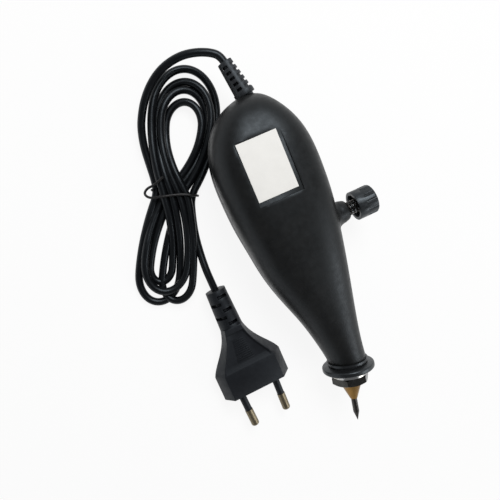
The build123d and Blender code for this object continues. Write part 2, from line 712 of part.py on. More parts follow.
with BuildPart() as nose_sleeve:
    with BuildSketch(NOSE):
        with BuildLine():
            Polyline(
                (FLANGE_BACK, SLEEVE_BORE),
                (FLANGE_BACK, SLEEVE_FLANGE),
                (FLANGE_FRONT, SLEEVE_FLANGE),
                (FLANGE_FRONT, SLEEVE_RADIUS),
                (NUT_FRONT - SLEEVE_SHORT, SLEEVE_RADIUS),
                (NUT_FRONT - SLEEVE_SHORT, SLEEVE_BORE),
                close=True,
            )
        make_face()
    revolve(axis=NOSE_AXIS)
finish(nose_sleeve, "nose_sleeve")

with BuildPart() as nose_ring:
    with BuildSketch(across(NOSE, COLLAR_THICKNESS / 2)):
        Circle(NOSE_RING_RADIUS)
        Circle(SLEEVE_RADIUS + THREAD_CLEAR, mode=Mode.SUBTRACT)
    extrude(amount=NOSE_RING_THICKNESS)
finish(nose_ring, "nose_ring")

nut_corner = NUT_FLATS / 2 / cos(radians(30))
with BuildPart() as nose_nut:
    with BuildSketch(across(NOSE, NUT_BACK)):
        RegularPolygon(nut_corner, 6)
        Circle(SLEEVE_RADIUS + THREAD_CLEAR, mode=Mode.SUBTRACT)
    extrude(amount=NUT_HEIGHT)
    with BuildSketch(NOSE):
        with BuildLine():
            Polyline(
                (NUT_BACK, 0),
                (NUT_BACK, NUT_FLATS / 2),
                (NUT_BACK + (nut_corner - NUT_FLATS / 2) * NUT_CHAMFER, nut_corner),
                (NUT_FRONT - (nut_corner - NUT_FLATS / 2) * NUT_CHAMFER, nut_corner),
                (NUT_FRONT, NUT_FLATS / 2),
                (NUT_FRONT, 0),
                close=True,
            )
        make_face()
    revolve(axis=NOSE_AXIS, mode=Mode.INTERSECT)
finish(nose_nut, "nose_nut")

# Vibrating arm with its armature, needle holder and needle
cup_base = NOSE_Y + (NOSE_X - ADJUST_X) * tan(radians(NOSE_TURN))
cup_end = cup_base + ARM_HALF_THICKNESS + CUP_HEIGHT
rivet_places = [core_back + RIVET_INSET, -CORE_FRONT - RIVET_INSET]
with BuildPart() as vibrating_arm:
    with BuildSketch(NOSE.offset(-ARM_HALF_HEIGHT)):
        with Locations(((-PIVOT_BACK - HOLDER_TAIL) / 2, 0)):
            Rectangle(PIVOT_BACK - HOLDER_TAIL, 2 * ARM_HALF_THICKNESS)
        with Locations((-PIVOT_BACK, 0)):
            Circle(EYE_RADIUS)
    extrude(amount=2 * ARM_HALF_HEIGHT)
    with BuildSketch(NOSE.offset(-ARM_HALF_HEIGHT)):
        with Locations((-PIVOT_BACK, 0)):
            Circle(PIVOT_RADIUS + THREAD_CLEAR)
    extrude(amount=2 * ARM_HALF_HEIGHT, mode=Mode.SUBTRACT)
    with BuildSketch(across(NOSE, -HOLDER_TAIL)):
        Circle(ARM_TANG_RADIUS)
    extrude(amount=ARM_TANG)
    with BuildSketch(across(ADJUST, cup_base)):
        Circle(CUP_RADIUS)
    extrude(amount=ARM_HALF_THICKNESS + CUP_HEIGHT)
    for place in rivet_places:
        with BuildSketch(Plane(origin=NOSE.from_local_coords(Vector(place, 0, 0)), z_dir=NOSE.y_dir)):
            Circle(RIVET_RADIUS)
        extrude(amount=2 * ARM_HALF_THICKNESS, both=True, mode=Mode.SUBTRACT)
finish(vibrating_arm, "vibrating_arm")

with BuildPart() as armature:
    with BuildSketch(NOSE.offset(-CORE_HALF_HEIGHT)):
        with Locations((core_middle, armature_face + ARMATURE_THICKNESS / 2)):
            Rectangle(core_length, ARMATURE_THICKNESS)
    extrude(amount=2 * CORE_HALF_HEIGHT)
    for place in rivet_places:
        with BuildSketch(Plane(origin=NOSE.from_local_coords(Vector(place, 0, 0)), z_dir=NOSE.y_dir)):
            Circle(RIVET_RADIUS)
        extrude(amount=2 * ARMATURE_THICKNESS, both=True, mode=Mode.SUBTRACT)
finish(armature, "armature")

with BuildPart() as armature_rivets:
    for place in rivet_places:
        foot = NOSE.from_local_coords(Vector(place, armature_face, 0))
        with BuildSketch(Plane(origin=foot, z_dir=NOSE.y_dir)):
            Circle(RIVET_RADIUS)
        extrude(amount=ARMATURE_THICKNESS + 2 * ARM_HALF_THICKNESS)
        head = NOSE.from_local_coords(Vector(place, ARM_HALF_THICKNESS, 0))
        with BuildSketch(Plane(origin=head, z_dir=NOSE.y_dir)):
            Circle(2 * RIVET_RADIUS)
        extrude(amount=RIVET_HEAD)
finish(armature_rivets, "armature_rivets")

cone_end = NUT_FRONT + HOLDER_CONE
with BuildPart() as needle_holder:
    with BuildSketch(NOSE):
        with BuildLine():
            Polyline(
                (-HOLDER_TAIL, ARM_TANG_RADIUS),
                (-HOLDER_TAIL, HOLDER_RADIUS),
                (NUT_FRONT + HOLDER_CONE_GAP, HOLDER_RADIUS),
                (NUT_FRONT + HOLDER_CONE_GAP, HOLDER_CONE_RADIUS),
                (cone_end, HOLDER_TIP_RADIUS),
                (cone_end, NEEDLE_RADIUS),
                (cone_end - NEEDLE_IN, NEEDLE_RADIUS),
                (cone_end - NEEDLE_IN, 0),
                (-HOLDER_TAIL + ARM_TANG, 0),
                (-HOLDER_TAIL + ARM_TANG, ARM_TANG_RADIUS),
                close=True,
            )
        make_face()
    revolve(axis=NOSE_AXIS)
finish(needle_holder, "needle_holder")

needle_tip = cone_end + NEEDLE_OUT
with BuildPart() as needle:
    with BuildSketch(NOSE):
        with BuildLine():
            Polyline(
                (cone_end - NEEDLE_IN, 0),
                (cone_end - NEEDLE_IN, NEEDLE_RADIUS),
                (needle_tip - NEEDLE_POINT, NEEDLE_RADIUS),
                (needle_tip - NEEDLE_TIP, NEEDLE_TIP_RADIUS),
                (needle_tip, 0),
                close=True,
            )
        make_face()
    revolve(axis=NOSE_AXIS)
finish(needle, "needle")

with BuildPart() as pivot_pin:
    with BuildSketch(PARTING.offset(-pivot_boss_start - PIVOT_SOCKET)):
        with Locations((pivot.X, pivot.Y)):
            Circle(PIVOT_RADIUS)
    extrude(amount=2 * (pivot_boss_start + PIVOT_SOCKET))
finish(pivot_pin, "pivot_pin")

# Electromagnet
with BuildPart() as magnet_core:
    with BuildSketch(NOSE.offset(-CORE_HALF_HEIGHT)):
        with Locations((core_middle, (core_outer + pole_face) / 2)):
            Rectangle(core_length, pole_face - core_outer)
        for side in (-1, 1):
            window_x = core_middle + side * (CORE_MIDDLE_LEG + CORE_WINDOW) / 2
            with Locations((window_x, (core_inner + pole_face) / 2)):
                Rectangle(CORE_WINDOW, CORE_LEG_LENGTH, mode=Mode.SUBTRACT)
    extrude(amount=2 * CORE_HALF_HEIGHT)
    with BuildSketch(PARTING.offset(-CORE_HALF_HEIGHT)):
        with Locations(*[(p.X, p.Y) for p in core_screw_places]):
            Circle(CORE_SCREW_RADIUS + SCREW_HOLE_CLEAR)
    extrude(amount=2 * CORE_HALF_HEIGHT, mode=Mode.SUBTRACT)
finish(magnet_core, "magnet_core")

bobbin_half = CORE_MIDDLE_LEG / 2 + CORE_WINDOW - BOBBIN_CLEAR
tube_half = CORE_MIDDLE_LEG / 2 + BOBBIN_CLEAR + BOBBIN_WALL
tube_height = CORE_HALF_HEIGHT + BOBBIN_CLEAR + BOBBIN_WALL
bobbin_start = core_inner + BOBBIN_CLEAR
bobbin_length = CORE_LEG_LENGTH - 2 * BOBBIN_CLEAR - AIR_GAP
coil_start = bobbin_start + BOBBIN_WALL
coil_length = bobbin_length - 2 * BOBBIN_WALL
bobbin_top = tube_height + COIL_DEPTH
BOBBIN = Plane(
    origin=NOSE.from_local_coords(Vector(core_middle, 0, 0)),
    x_dir=NOSE.x_dir,
    z_dir=NOSE.y_dir,
)
with BuildPart() as coil_bobbin:
    with BuildSketch(BOBBIN.offset(bobbin_start)):
        Rectangle(2 * tube_half, 2 * tube_height)
    extrude(amount=bobbin_length)
    with BuildSketch(BOBBIN.offset(bobbin_start), BOBBIN.offset(bobbin_start + bobbin_length - BOBBIN_WALL)):
        Rectangle(2 * bobbin_half, 2 * bobbin_top)
    extrude(amount=BOBBIN_WALL)
    with BuildSketch(BOBBIN.offset(bobbin_start)):
        Rectangle(CORE_MIDDLE_LEG + 2 * BOBBIN_CLEAR, 2 * (CORE_HALF_HEIGHT + BOBBIN_CLEAR))
    extrude(amount=bobbin_length, mode=Mode.SUBTRACT)
finish(coil_bobbin, "coil_bobbin")

with BuildPart() as coil_winding:
    with BuildSketch(BOBBIN.offset(coil_start)):
        RectangleRounded(2 * (bobbin_half - COIL_INSET), 2 * (bobbin_top - COIL_INSET), COIL_DEPTH / 2)
        Rectangle(2 * tube_half, 2 * tube_height, mode=Mode.SUBTRACT)
    extrude(amount=coil_length)
finish(coil_winding, "coil_winding")

with BuildPart() as core_screws:
    with BuildSketch(PARTING.offset(CORE_HALF_HEIGHT)):
        with Locations(*[(p.X, p.Y) for p in core_screw_places]):
            Circle(SCREW_HEAD_RADIUS)
    extrude(amount=SCREW_HEAD_HEIGHT)
    with BuildSketch(PARTING.offset(-CORE_HALF_HEIGHT - CORE_SCREW_DEPTH)):
        with Locations(*[(p.X, p.Y) for p in core_screw_places]):
            Circle(CORE_SCREW_RADIUS)
    extrude(amount=2 * CORE_HALF_HEIGHT + CORE_SCREW_DEPTH)
finish(core_screws, "core_screws")

# Stroke adjuster
rim_y = BOSS_END_Y + KNOB_GAP
knob_end = rim_y + KNOB_LENGTH
cup_floor = rim_y + KNOB_CUP
washer_back = cup_floor - WASHER_CLEAR - WASHER_THICKNESS
with BuildPart() as insert_nut:
    with BuildSketch(ADJUST):
        with BuildLine():
            Polyline(
                (insert_start, THREAD_RADIUS + THREAD_CLEAR),
                (insert_start, INSERT_RADIUS),
                (insert_start + INSERT_LENGTH * INSERT_GROOVE_FROM, INSERT_RADIUS),
                (insert_start + INSERT_LENGTH * INSERT_GROOVE_FROM, INSERT_RADIUS - INSERT_GROOVE),
                (insert_start + INSERT_LENGTH * INSERT_GROOVE_TO, INSERT_RADIUS - INSERT_GROOVE),
                (insert_start + INSERT_LENGTH * INSERT_GROOVE_TO, INSERT_RADIUS),
                (insert_end, INSERT_RADIUS),
                (insert_end, THREAD_RADIUS + THREAD_CLEAR),
                close=True,
            )
        make_face()
    revolve(axis=ADJUST_AXIS)
finish(insert_nut, "insert_nut")

with BuildPart() as adjuster_knob:
    with BuildSketch(ADJUST):
        with BuildLine():
            Polyline(
                (rim_y, KNOB_RADIUS - KNOB_WALL),
                (rim_y, KNOB_RADIUS),
                (knob_end, KNOB_RADIUS),
                (knob_end, 0),
                (cup_floor + SCREW_IN_KNOB, 0),
                (cup_floor + SCREW_IN_KNOB, THREAD_RADIUS),
                (cup_floor, THREAD_RADIUS),
                (cup_floor, KNOB_RADIUS - KNOB_WALL),
                close=True,
            )
        make_face()
    revolve(axis=ADJUST_AXIS)
    outer_rim = adjuster_knob.edges().filter_by(GeomType.CIRCLE).sort_by(Axis.Y)[-1]
    fillet(outer_rim, KNOB_ROUND)
    flute_centre = KNOB_RADIUS + FLUTE_RADIUS - FLUTE_DEPTH
    with BuildSketch(across(ADJUST, knob_end - FLUTE_LENGTH)):
        with PolarLocations(flute_centre, KNOB_FLUTES):
            Circle(FLUTE_RADIUS)
    extrude(amount=FLUTE_LENGTH + CUT_OVER, mode=Mode.SUBTRACT)
finish(adjuster_knob, "adjuster_knob")

screw_tip = cup_end + SCREW_TIP_GAP
with BuildPart() as adjuster_screw:
    with BuildSketch(across(ADJUST, screw_tip)):
        Circle(THREAD_RADIUS)
    extrude(amount=cup_floor + SCREW_IN_KNOB - screw_tip)
    tip_edge = adjuster_screw.edges().filter_by(GeomType.CIRCLE).sort_by(Axis.Y)[0]
    chamfer(tip_edge, SCREW_CHAMFER)
finish(adjuster_screw, "adjuster_screw")

with BuildPart() as spring_washer:
    with BuildSketch(across(ADJUST, washer_back)):
        Circle(WASHER_RADIUS)
        Circle(THREAD_RADIUS + WASHER_CLEAR, mode=Mode.SUBTRACT)
    extrude(amount=WASHER_THICKNESS)
finish(spring_washer, "spring_washer")

adjuster_spring = helix_spring(
    ADJUST, BOSS_END_Y, washer_back - BOSS_END_Y, SPRING_MEAN_RADIUS, SPRING_WIRE, SPRING_TURNS
)
finish(adjuster_spring, "adjuster_spring")

preload_spring = helix_spring(
    ADJUST, cup_end, SCREW_TIP_GAP, PRELOAD_MEAN_RADIUS, PRELOAD_WIRE, PRELOAD_TURNS
)
finish(preload_spring, "preload_spring")

RETURN = Plane(
    origin=NOSE.from_local_coords(Vector(-RETURN_BACK, post_face, 0)),
    x_dir=NOSE.y_dir,
    z_dir=(0, 0, 1),
)
return_spring = helix_spring(RETURN, 0, RETURN_LENGTH, RETURN_MEAN_RADIUS, RETURN_WIRE, RETURN_TURNS)
finish(return_spring, "return_spring")

# Cord boot, clamp, inner cord and wires
with BuildPart() as cable_boot:
    with BuildSketch(BOOT):
        with BuildLine():
            Polyline(
                (-BOOT_NECK - BOOT_FLANGE, CORD_RADIUS),
                (-BOOT_NECK - BOOT_FLANGE, BOOT_FLANGE_RADIUS),
                (-BOOT_NECK, BOOT_FLANGE_RADIUS),
                (-BOOT_NECK, BOOT_NECK_RADIUS),
                (0, BOOT_NECK_RADIUS),
                (0, BOOT_COLLAR_RADIUS),
                (BOOT_COLLAR, BOOT_COLLAR_RADIUS),
                (BOOT_COLLAR, BOOT_BASE_RADIUS),
                (BOOT_LENGTH, BOOT_TIP_RADIUS),
                (BOOT_LENGTH, CORD_RADIUS),
                close=True,
            )
        make_face()
    revolve(axis=BOOT_AXIS)
    for row in range(BOOT_SLOTS):
        slot_start = BOOT_SLOT_START + row * BOOT_SLOT_PITCH
        slot_share = (slot_start - BOOT_COLLAR) / (BOOT_LENGTH - BOOT_COLLAR)
        slot_radius = BOOT_BASE_RADIUS + (BOOT_TIP_RADIUS - BOOT_BASE_RADIUS) * slot_share
        with BuildSketch(across(BOOT, slot_start)):
            with Locations(((BOOT_TIP_RADIUS - BOOT_SIDE) / 2, 0)):
                Rectangle(BOOT_TIP_RADIUS - BOOT_SIDE, 3 * BOOT_COLLAR_RADIUS)
            Circle(BOOT_CORE_RADIUS, mode=Mode.SUBTRACT)
            Rectangle(BOOT_SPINE, 3 * BOOT_COLLAR_RADIUS, mode=Mode.SUBTRACT)
        extrude(amount=BOOT_SLOT, mode=Mode.SUBTRACT)
        with BuildSketch(across(BOOT, slot_start)):
            with Locations((-BOOT_COLLAR_RADIUS, 0)):
                Rectangle(2 * BOOT_COLLAR_RADIUS, 3 * BOOT_COLLAR_RADIUS)
            Circle(slot_radius - BOOT_RIB, mode=Mode.SUBTRACT)
            Rectangle(BOOT_SPINE, 3 * BOOT_COLLAR_RADIUS, mode=Mode.SUBTRACT)
        extrude(amount=BOOT_SLOT, mode=Mode.SUBTRACT)
finish(cable_boot, "cable_boot")

with BuildPart() as cord_inner:
    with BuildSketch(across(BOOT, -CORD_INSIDE)):
        Circle(CORD_RADIUS)
    extrude(amount=CORD_INSIDE + BOOT_LENGTH)
finish(cord_inner, "cord_inner")

with BuildPart() as cord_clamp:
    with BuildSketch(BOOT.offset(CLAMP_GAP / 2)):
        with Locations((-CLAMP_START - CLAMP_LENGTH / 2, 0)):
            Rectangle(CLAMP_LENGTH, 2 * CLAMP_HALF_WIDTH)
    extrude(amount=CLAMP_THICKNESS)
    with BuildSketch(across(BOOT, -CLAMP_START - CLAMP_LENGTH)):
        Circle(CORD_RADIUS)
    extrude(amount=CLAMP_LENGTH, mode=Mode.SUBTRACT)
    with BuildSketch(PARTING):
        with Locations(*[(p.X, p.Y) for p in clamp_screw_places]):
            Circle(CLAMP_SCREW_RADIUS + SCREW_HOLE_CLEAR)
    extrude(amount=2 * CLAMP_THICKNESS, mode=Mode.SUBTRACT)
finish(cord_clamp, "cord_clamp")

with BuildPart() as clamp_screws:
    with BuildSketch(PARTING.offset(-CLAMP_SCREW_DEPTH)):
        with Locations(*[(p.X, p.Y) for p in clamp_screw_places]):
            Circle(CLAMP_SCREW_RADIUS)
    extrude(amount=CLAMP_SCREW_DEPTH + CLAMP_GAP / 2 + CLAMP_THICKNESS)
    with BuildSketch(PARTING.offset(CLAMP_GAP / 2 + CLAMP_THICKNESS)):
        with Locations(*[(p.X, p.Y) for p in clamp_screw_places]):
            Circle(2 * CLAMP_SCREW_RADIUS)
    extrude(amount=CLAMP_SCREW_HEAD)
finish(clamp_screws, "clamp_screws")

# Two insulated wires from the cord to the rear of the winding, over the core's outer leg
coil_rear = core_middle - bobbin_half + COIL_INSET
coil_centre = coil_start + coil_length / 2
wire_height = CORE_HALF_HEIGHT + WIRE_RADIUS + WIRE_CLEAR
with BuildPart() as lead_wires:
    for side in (-1, 1):
        first = BOOT.from_local_coords(Vector(-CORD_INSIDE, -side * WIRE_SPACING / 2, 0))
        last = NOSE.from_local_coords(Vector(coil_rear, coil_centre + side * WIRE_SPACING, wire_height))
        with BuildLine() as wire_route:
            FilletPolyline(
                first,
                first - BOOT.x_dir * WIRE_RUN,
                last - NOSE.x_dir * 2 * WIRE_RUN,
                last,
                radius=WIRE_BEND,
            )
        with BuildSketch(Plane(origin=first, z_dir=-BOOT.x_dir)):
            Circle(WIRE_RADIUS)
        sweep(path=wire_route.wires()[0])
finish(lead_wires, "lead_wires")


# Hank of cord
def hank_leg(loop, upper, side, up_sign):
    """Crossing end, spread and shoulder of one leg: across, along and height in the hank's frame."""
    odd = loop % 2
    low = CORD_RADIUS + FLOOR_CLEAR
    waist_z = CORD_RADIUS + HANK_LIFT + (HANK_LAYER if upper else 0)
    loop_z = low + odd * HANK_LOOP_LAYER
    waist = HANK_STEP * ((HANK_LOOPS - 1) / 2 - loop)
    cross = waist + HANK_LEAN * HANK_CROSS
    shoulder = HANK_WIDTH - HANK_WIDTH_STEP * loop
    if side < 0:
        shoulder *= HANK_LEFT
    top = HANK_SHOULDER - HANK_SHOULDER_STEP * loop
    if up_sign < 0:
        top -= HANK_BOTTOM_SHORT
    moves = odd == (0 if upper else 1)
    ease = HANK_EASE if moves else HANK_EASE / 2
    return [
        (side * cross, up_sign * HANK_CROSS, waist_z + (loop_z - waist_z) * ease),
        (side * (cross + (shoulder - cross) * HANK_FAN), up_sign * HANK_SPREAD, loop_z),
        (side * shoulder, up_sign * top, loop_z),
    ]


def hank_loop(loop, up_sign):
    """One loop of the hank, out along its right leg, round its end and back along its left leg."""
    out = hank_leg(loop, up_sign < 0, 1, up_sign)
    back = hank_leg(loop, up_sign > 0, -1, up_sign)
    right, top, height = out[-1]
    left = back[-1][0]
    end = ((right + left) / 2, top + up_sign * HANK_ROUND * (right - left) / 2, height)
    return out + [end] + back[::-1]


def hank_points():
    """Centre line of the hank in its own frame: the lead comes in at the top, the tail leaves below."""
    last = HANK_LOOPS - 1
    high = CORD_RADIUS + HANK_LIFT + HANK_LAYER
    low = CORD_RADIUS + HANK_LIFT
    floor = CORD_RADIUS + FLOOR_CLEAR + HANK_LEAD_LIFT
    end_step = HANK_STEP * (HANK_LOOPS + 1) / 2
    lead_across = -end_step - HANK_LEAN * HANK_CROSS * HANK_LEAD_OUT
    tail_across = end_step + HANK_LEAN * HANK_CROSS * HANK_TAIL_OUT
    points = [
        (lead_across, HANK_SPREAD + HANK_LEAD, floor),
        (lead_across, HANK_SPREAD, floor),
        (lead_across, HANK_CROSS, (high + low) / 2),
    ]
    for turn in range(HANK_LOOPS):
        points.append((HANK_STEP * (turn - HANK_LOOPS / 2), 0, high))
        points += hank_loop(last - turn, -1)
        points.append((HANK_STEP * ((HANK_LOOPS - 1) / 2 - turn), 0, low))
        points += hank_loop(turn, 1)
    points.append((HANK_STEP * HANK_LOOPS / 2, 0, high))
    points.append((tail_across, -HANK_CROSS, PLUG_Z))
    return [HANK.from_local_coords(Vector(*p)) for p in points]


hank_route = hank_points()
hank_tangents = chord_tangents(hank_route)
lead_in = hank_route[0] - hank_tangents[0] * 2 * CORD_RADIUS
tail_out = hank_route[-1] + hank_tangents[-1] * 2 * CORD_RADIUS
with BuildPart() as cord_hank:
    with BuildLine() as hank_line:
        Line(lead_in, hank_route[0])
        biarc_path(hank_route, hank_tangents)
        Line(hank_route[-1], tail_out)
    with BuildSketch(Plane(origin=lead_in, z_dir=hank_tangents[0])):
        Circle(CORD_RADIUS)
    sweep(path=hank_line.wires()[0])
finish(cord_hank, "cord_hank")
hank_wire = hank_line.wires()[0]


def least_gap(wire, diameter):
    """Least gap of a bent tube to itself, on points along its centre line."""
    count = int(wire.length / GAP_STEP)
    points = [wire.position_at(i / count) for i in range(count + 1)]
    step = wire.length / count
    apart = int(GAP_APART * diameter / step) + 1
    distances = []
    for i, here in enumerate(points):
        for there in points[i + apart:]:
            distances.append((there - here).length)
    return min(distances) - diameter


print("hank length", round(hank_wire.length, 1), "least gap", round(least_gap(hank_wire, 2 * CORD_RADIUS), 3))
print("hank volume", round(cord_hank.part.volume, 1),
      "section x length", round(pi * CORD_RADIUS**2 * hank_wire.length, 1))


def free_stretch(label, points):
    """Tube of cord along straight runs joined by the largest arcs that the runs allow."""
    runs = [after - before for before, after in zip(points, points[1:])]
    radii = []
    for before, after in zip(runs, runs[1:]):
        half_turn = radians(before.get_angle(after)) / 2
        radii.append(BEND_SHARE * min(before.length, after.length) / tan(half_turn))
    with BuildPart() as stretch:
        with BuildLine() as route:
            FilletPolyline(*points, radius=radii)
        with BuildSketch(Plane(origin=points[0], z_dir=runs[0])):
            Circle(CORD_RADIUS)
        sweep(path=route.wires()[0])
    finish(stretch, label)
    length = route.wires()[0].length
    print(label, "length", round(length, 1), "radii", [round(r, 1) for r in radii], "runs",
          [round(r.length, 1) for r in runs])
    print(label, "volume", round(stretch.part.volume, 1),
          "section x length", round(pi * CORD_RADIUS**2 * length, 1))


boot_tip = BOOT.from_local_coords(Vector(BOOT_LENGTH, 0, 0))
lead_points = [
    boot_tip,
    boot_tip + BOOT_OUT * LEAD_RUN,
    *[boot_tip + Vector(*point) for point in LEAD_ROUTE],
    lead_in - hank_tangents[0] * LEAD_RUN,
    lead_in,
]
free_stretch("cord_lead", lead_points)

plug_entry = PLUG.origin
tail_points = [
    tail_out,
    tail_out + hank_tangents[-1] * TAIL_RUN,
    plug_entry - PLUG.x_dir * TAIL_RUN,
    plug_entry,
]
free_stretch("cord_tail", tail_points)

# Plug: a six-sided body with hollow sides, a ridged grip and a slotted tail
plug_front = PLUG_TAIL + PLUG_BODY
waist_length = PLUG_BODY - PLUG_FRONT


def plug_outline(along, share):
    """Corners of the plug's section; share narrows it, and it gets thinner towards the tail."""
    half = PLUG_WIDTH / 2 * share
    flat = PLUG_FLAT / 2 * share
    high = PLUG_Z - (PLUG_Z - PLUG_NECK_RADIUS) * along
    return [(half, 0), (flat, high), (-flat, high), (-half, 0), (-flat, -high), (flat, -high)]


with BuildPart() as plug_body:
    for along, share in PLUG_SIDES:
        with BuildSketch(across(PLUG, plug_front - PLUG_FRONT - along * waist_length)):
            Polygon(*plug_outline(along, share), align=None)
    loft()
    with BuildSketch(across(PLUG, plug_front - PLUG_FRONT)):
        Polygon(*plug_outline(0, 1), align=None)
    extrude(amount=PLUG_FRONT)
    with BuildSketch(PLUG):
        with BuildLine():
            Polyline(
                (0, 0),
                (0, PLUG_TAIL_RADIUS),
                (PLUG_TAIL, PLUG_NECK_RADIUS),
                (PLUG_TAIL + TAIL_OVERLAP, PLUG_NECK_RADIUS),
                (PLUG_TAIL + TAIL_OVERLAP, 0),
                close=True,
            )
        make_face()
    revolve(axis=Axis(PLUG.origin, PLUG.x_dir))
    panel_tilt = atan2(PLUG_Z - PLUG_NECK_RADIUS, waist_length)
    panel_top = Plane(
        origin=PLUG.from_local_coords(Vector(plug_front - PLUG_FRONT, 0, PLUG_Z)),
        x_dir=(cos(panel_tilt), 0, sin(panel_tilt)),
        z_dir=(-sin(panel_tilt), 0, cos(panel_tilt)),
    )
    panel_edge = [(-along * waist_length, PLUG_FLAT / 2 * share - PANEL_RIM) for along, share in PANEL_SIDES]
    panel_floor = panel_edge[1:]
    with BuildSketch(panel_top.offset(-PANEL_DEPTH)):
        Polygon(*panel_floor, *[(x, -y) for x, y in reversed(panel_floor)], align=None)
    extrude(amount=2 * PANEL_DEPTH, mode=Mode.SUBTRACT)
    slope_front = panel_edge[0][0]
    slope_back, slope_half = panel_floor[0]
    with BuildSketch(Plane(origin=panel_top.origin, x_dir=panel_top.x_dir, z_dir=(0, -1, 0))):
        Polygon(
            (slope_front, 0),
            (slope_front, PANEL_DEPTH),
            (slope_back, PANEL_DEPTH),
            (slope_back, -PANEL_DEPTH),
            align=None,
        )
    extrude(amount=slope_half, both=True, mode=Mode.SUBTRACT)
    with BuildSketch(panel_top.offset(-PANEL_DEPTH)):
        for row in range(RIDGES):
            with Locations((-RIDGE_START - row * RIDGE_PITCH, 0)):
                Rectangle(RIDGE_WIDTH, RIDGE_LENGTH - row * RIDGE_SHORTER)
    extrude(amount=RIDGE_HEIGHT)
    slot_high = 2 * PLUG_NECK_RADIUS
    for row in range(TAIL_SLOTS):
        wide = TAIL_SLOT_WIDE[row % 2]
        off = TAIL_SLOT_OFF[row % 2]
        with BuildSketch(across(PLUG, TAIL_SLOT_START + row * TAIL_SLOT_PITCH)):
            with Locations((off, slot_high / 2), (-off, -slot_high / 2)):
                Rectangle(wide, slot_high)
            Circle(TAIL_CORE_RADIUS, mode=Mode.SUBTRACT)
        extrude(amount=TAIL_SLOT, mode=Mode.SUBTRACT)
    pin_turn = degrees(atan2((PIN_SPACING - PIN_TIP_SPACING) / 2, PIN_LENGTH))
    pin_planes = []
    for side in (-1, 1):
        root = PLUG.from_local_coords(Vector(plug_front, side * PIN_SPACING / 2, 0))
        direction = Vector(cos(radians(pin_turn)), -side * sin(radians(pin_turn)), 0)
        pin_planes.append(Plane(origin=root, x_dir=direction, z_dir=(0, 0, 1)))
    for pin_plane in pin_planes:
        with BuildSketch(across(pin_plane, -PIN_EMBED)):
            Circle(PIN_CORE_RADIUS)
        extrude(amount=PIN_EMBED, mode=Mode.SUBTRACT)
        with BuildSketch(across(pin_plane, 0)):
            Circle(PIN_SLEEVE_RADIUS)
        extrude(amount=PIN_RADIUS, mode=Mode.SUBTRACT)
finish(plug_body, "plug_body")

with BuildPart() as plug_pins:
    for pin_plane in pin_planes:
        with BuildSketch(pin_plane):
            with BuildLine():
                Polyline(
                    (PIN_LENGTH, 0),
                    (-PIN_EMBED, 0),
                    (-PIN_EMBED, PIN_CORE_RADIUS),
                    (PIN_SLEEVE, PIN_CORE_RADIUS),
                    (PIN_SLEEVE, PIN_RADIUS),
                    (PIN_LENGTH - PIN_ROUND, PIN_RADIUS),
                )
                RadiusArc(
                    (PIN_LENGTH - PIN_ROUND, PIN_RADIUS),
                    (PIN_LENGTH, PIN_RADIUS - PIN_ROUND),
                    PIN_ROUND,
                )
                Line((PIN_LENGTH, PIN_RADIUS - PIN_ROUND), (PIN_LENGTH, 0))
            make_face()
        revolve(axis=Axis(pin_plane.origin, pin_plane.x_dir))
finish(plug_pins, "plug_pins")

with BuildPart() as pin_sleeves:
    for pin_plane in pin_planes:
        with BuildSketch(across(pin_plane, 0)):
            Circle(PIN_SLEEVE_RADIUS)
            Circle(PIN_CORE_RADIUS, mode=Mode.SUBTRACT)
        extrude(amount=PIN_SLEEVE)
finish(pin_sleeves, "pin_sleeves")

# Wire tie: a free end, a loop out to the left, over the waist, down the right side and back below
tie_out = HANK_STEP * HANK_LOOPS / 2 + CORD_RADIUS + TIE_RADIUS + TIE_SIDE
tie_top = 2 * CORD_RADIUS + HANK_LIFT + HANK_LAYER + TIE_RADIUS + TIE_CLEAR
tie_bottom = TIE_RADIUS + FLOOR_CLEAR
tie_loop = -tie_out - TIE_LOOP
tie_across = (-TIE_END_OUT, -tie_out, tie_loop, tie_loop, -tie_out, tie_out, tie_out, -tie_out, -tie_out)
tie_heights = [tie_top + rise for rise in TIE_RISE] + [tie_bottom, tie_bottom, tie_top - TIE_TAIL_DOWN]
tie_points = [HANK.from_local_coords(Vector(*p)) for p in zip(tie_across, TIE_ALONG, tie_heights)]
with BuildPart() as cord_tie:
    with BuildLine() as tie_line:
        FilletPolyline(*tie_points, radius=2 * TIE_RADIUS)
    with BuildSketch(Plane(origin=tie_points[0], z_dir=tie_points[1] - tie_points[0])):
        Circle(TIE_RADIUS)
    sweep(path=tie_line.wires()[0])
finish(cord_tie, "cord_tie")
print("tie least gap", round(least_gap(tie_line.wires()[0], 2 * TIE_RADIUS), 3))
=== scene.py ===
"""Looks of an electric engraving pen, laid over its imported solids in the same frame, in metres.

The moulded, turned and plated pieces keep their solids and get their finishes here. The cord and its tie are
smooth splines, and the coil springs and the stroke screw are surfaces worked out from formulas.
"""
import logging
import math
from dataclasses import dataclass
from enum import Enum
from functools import cache

import bpy
import numpy as np
from mathutils import Matrix, Vector


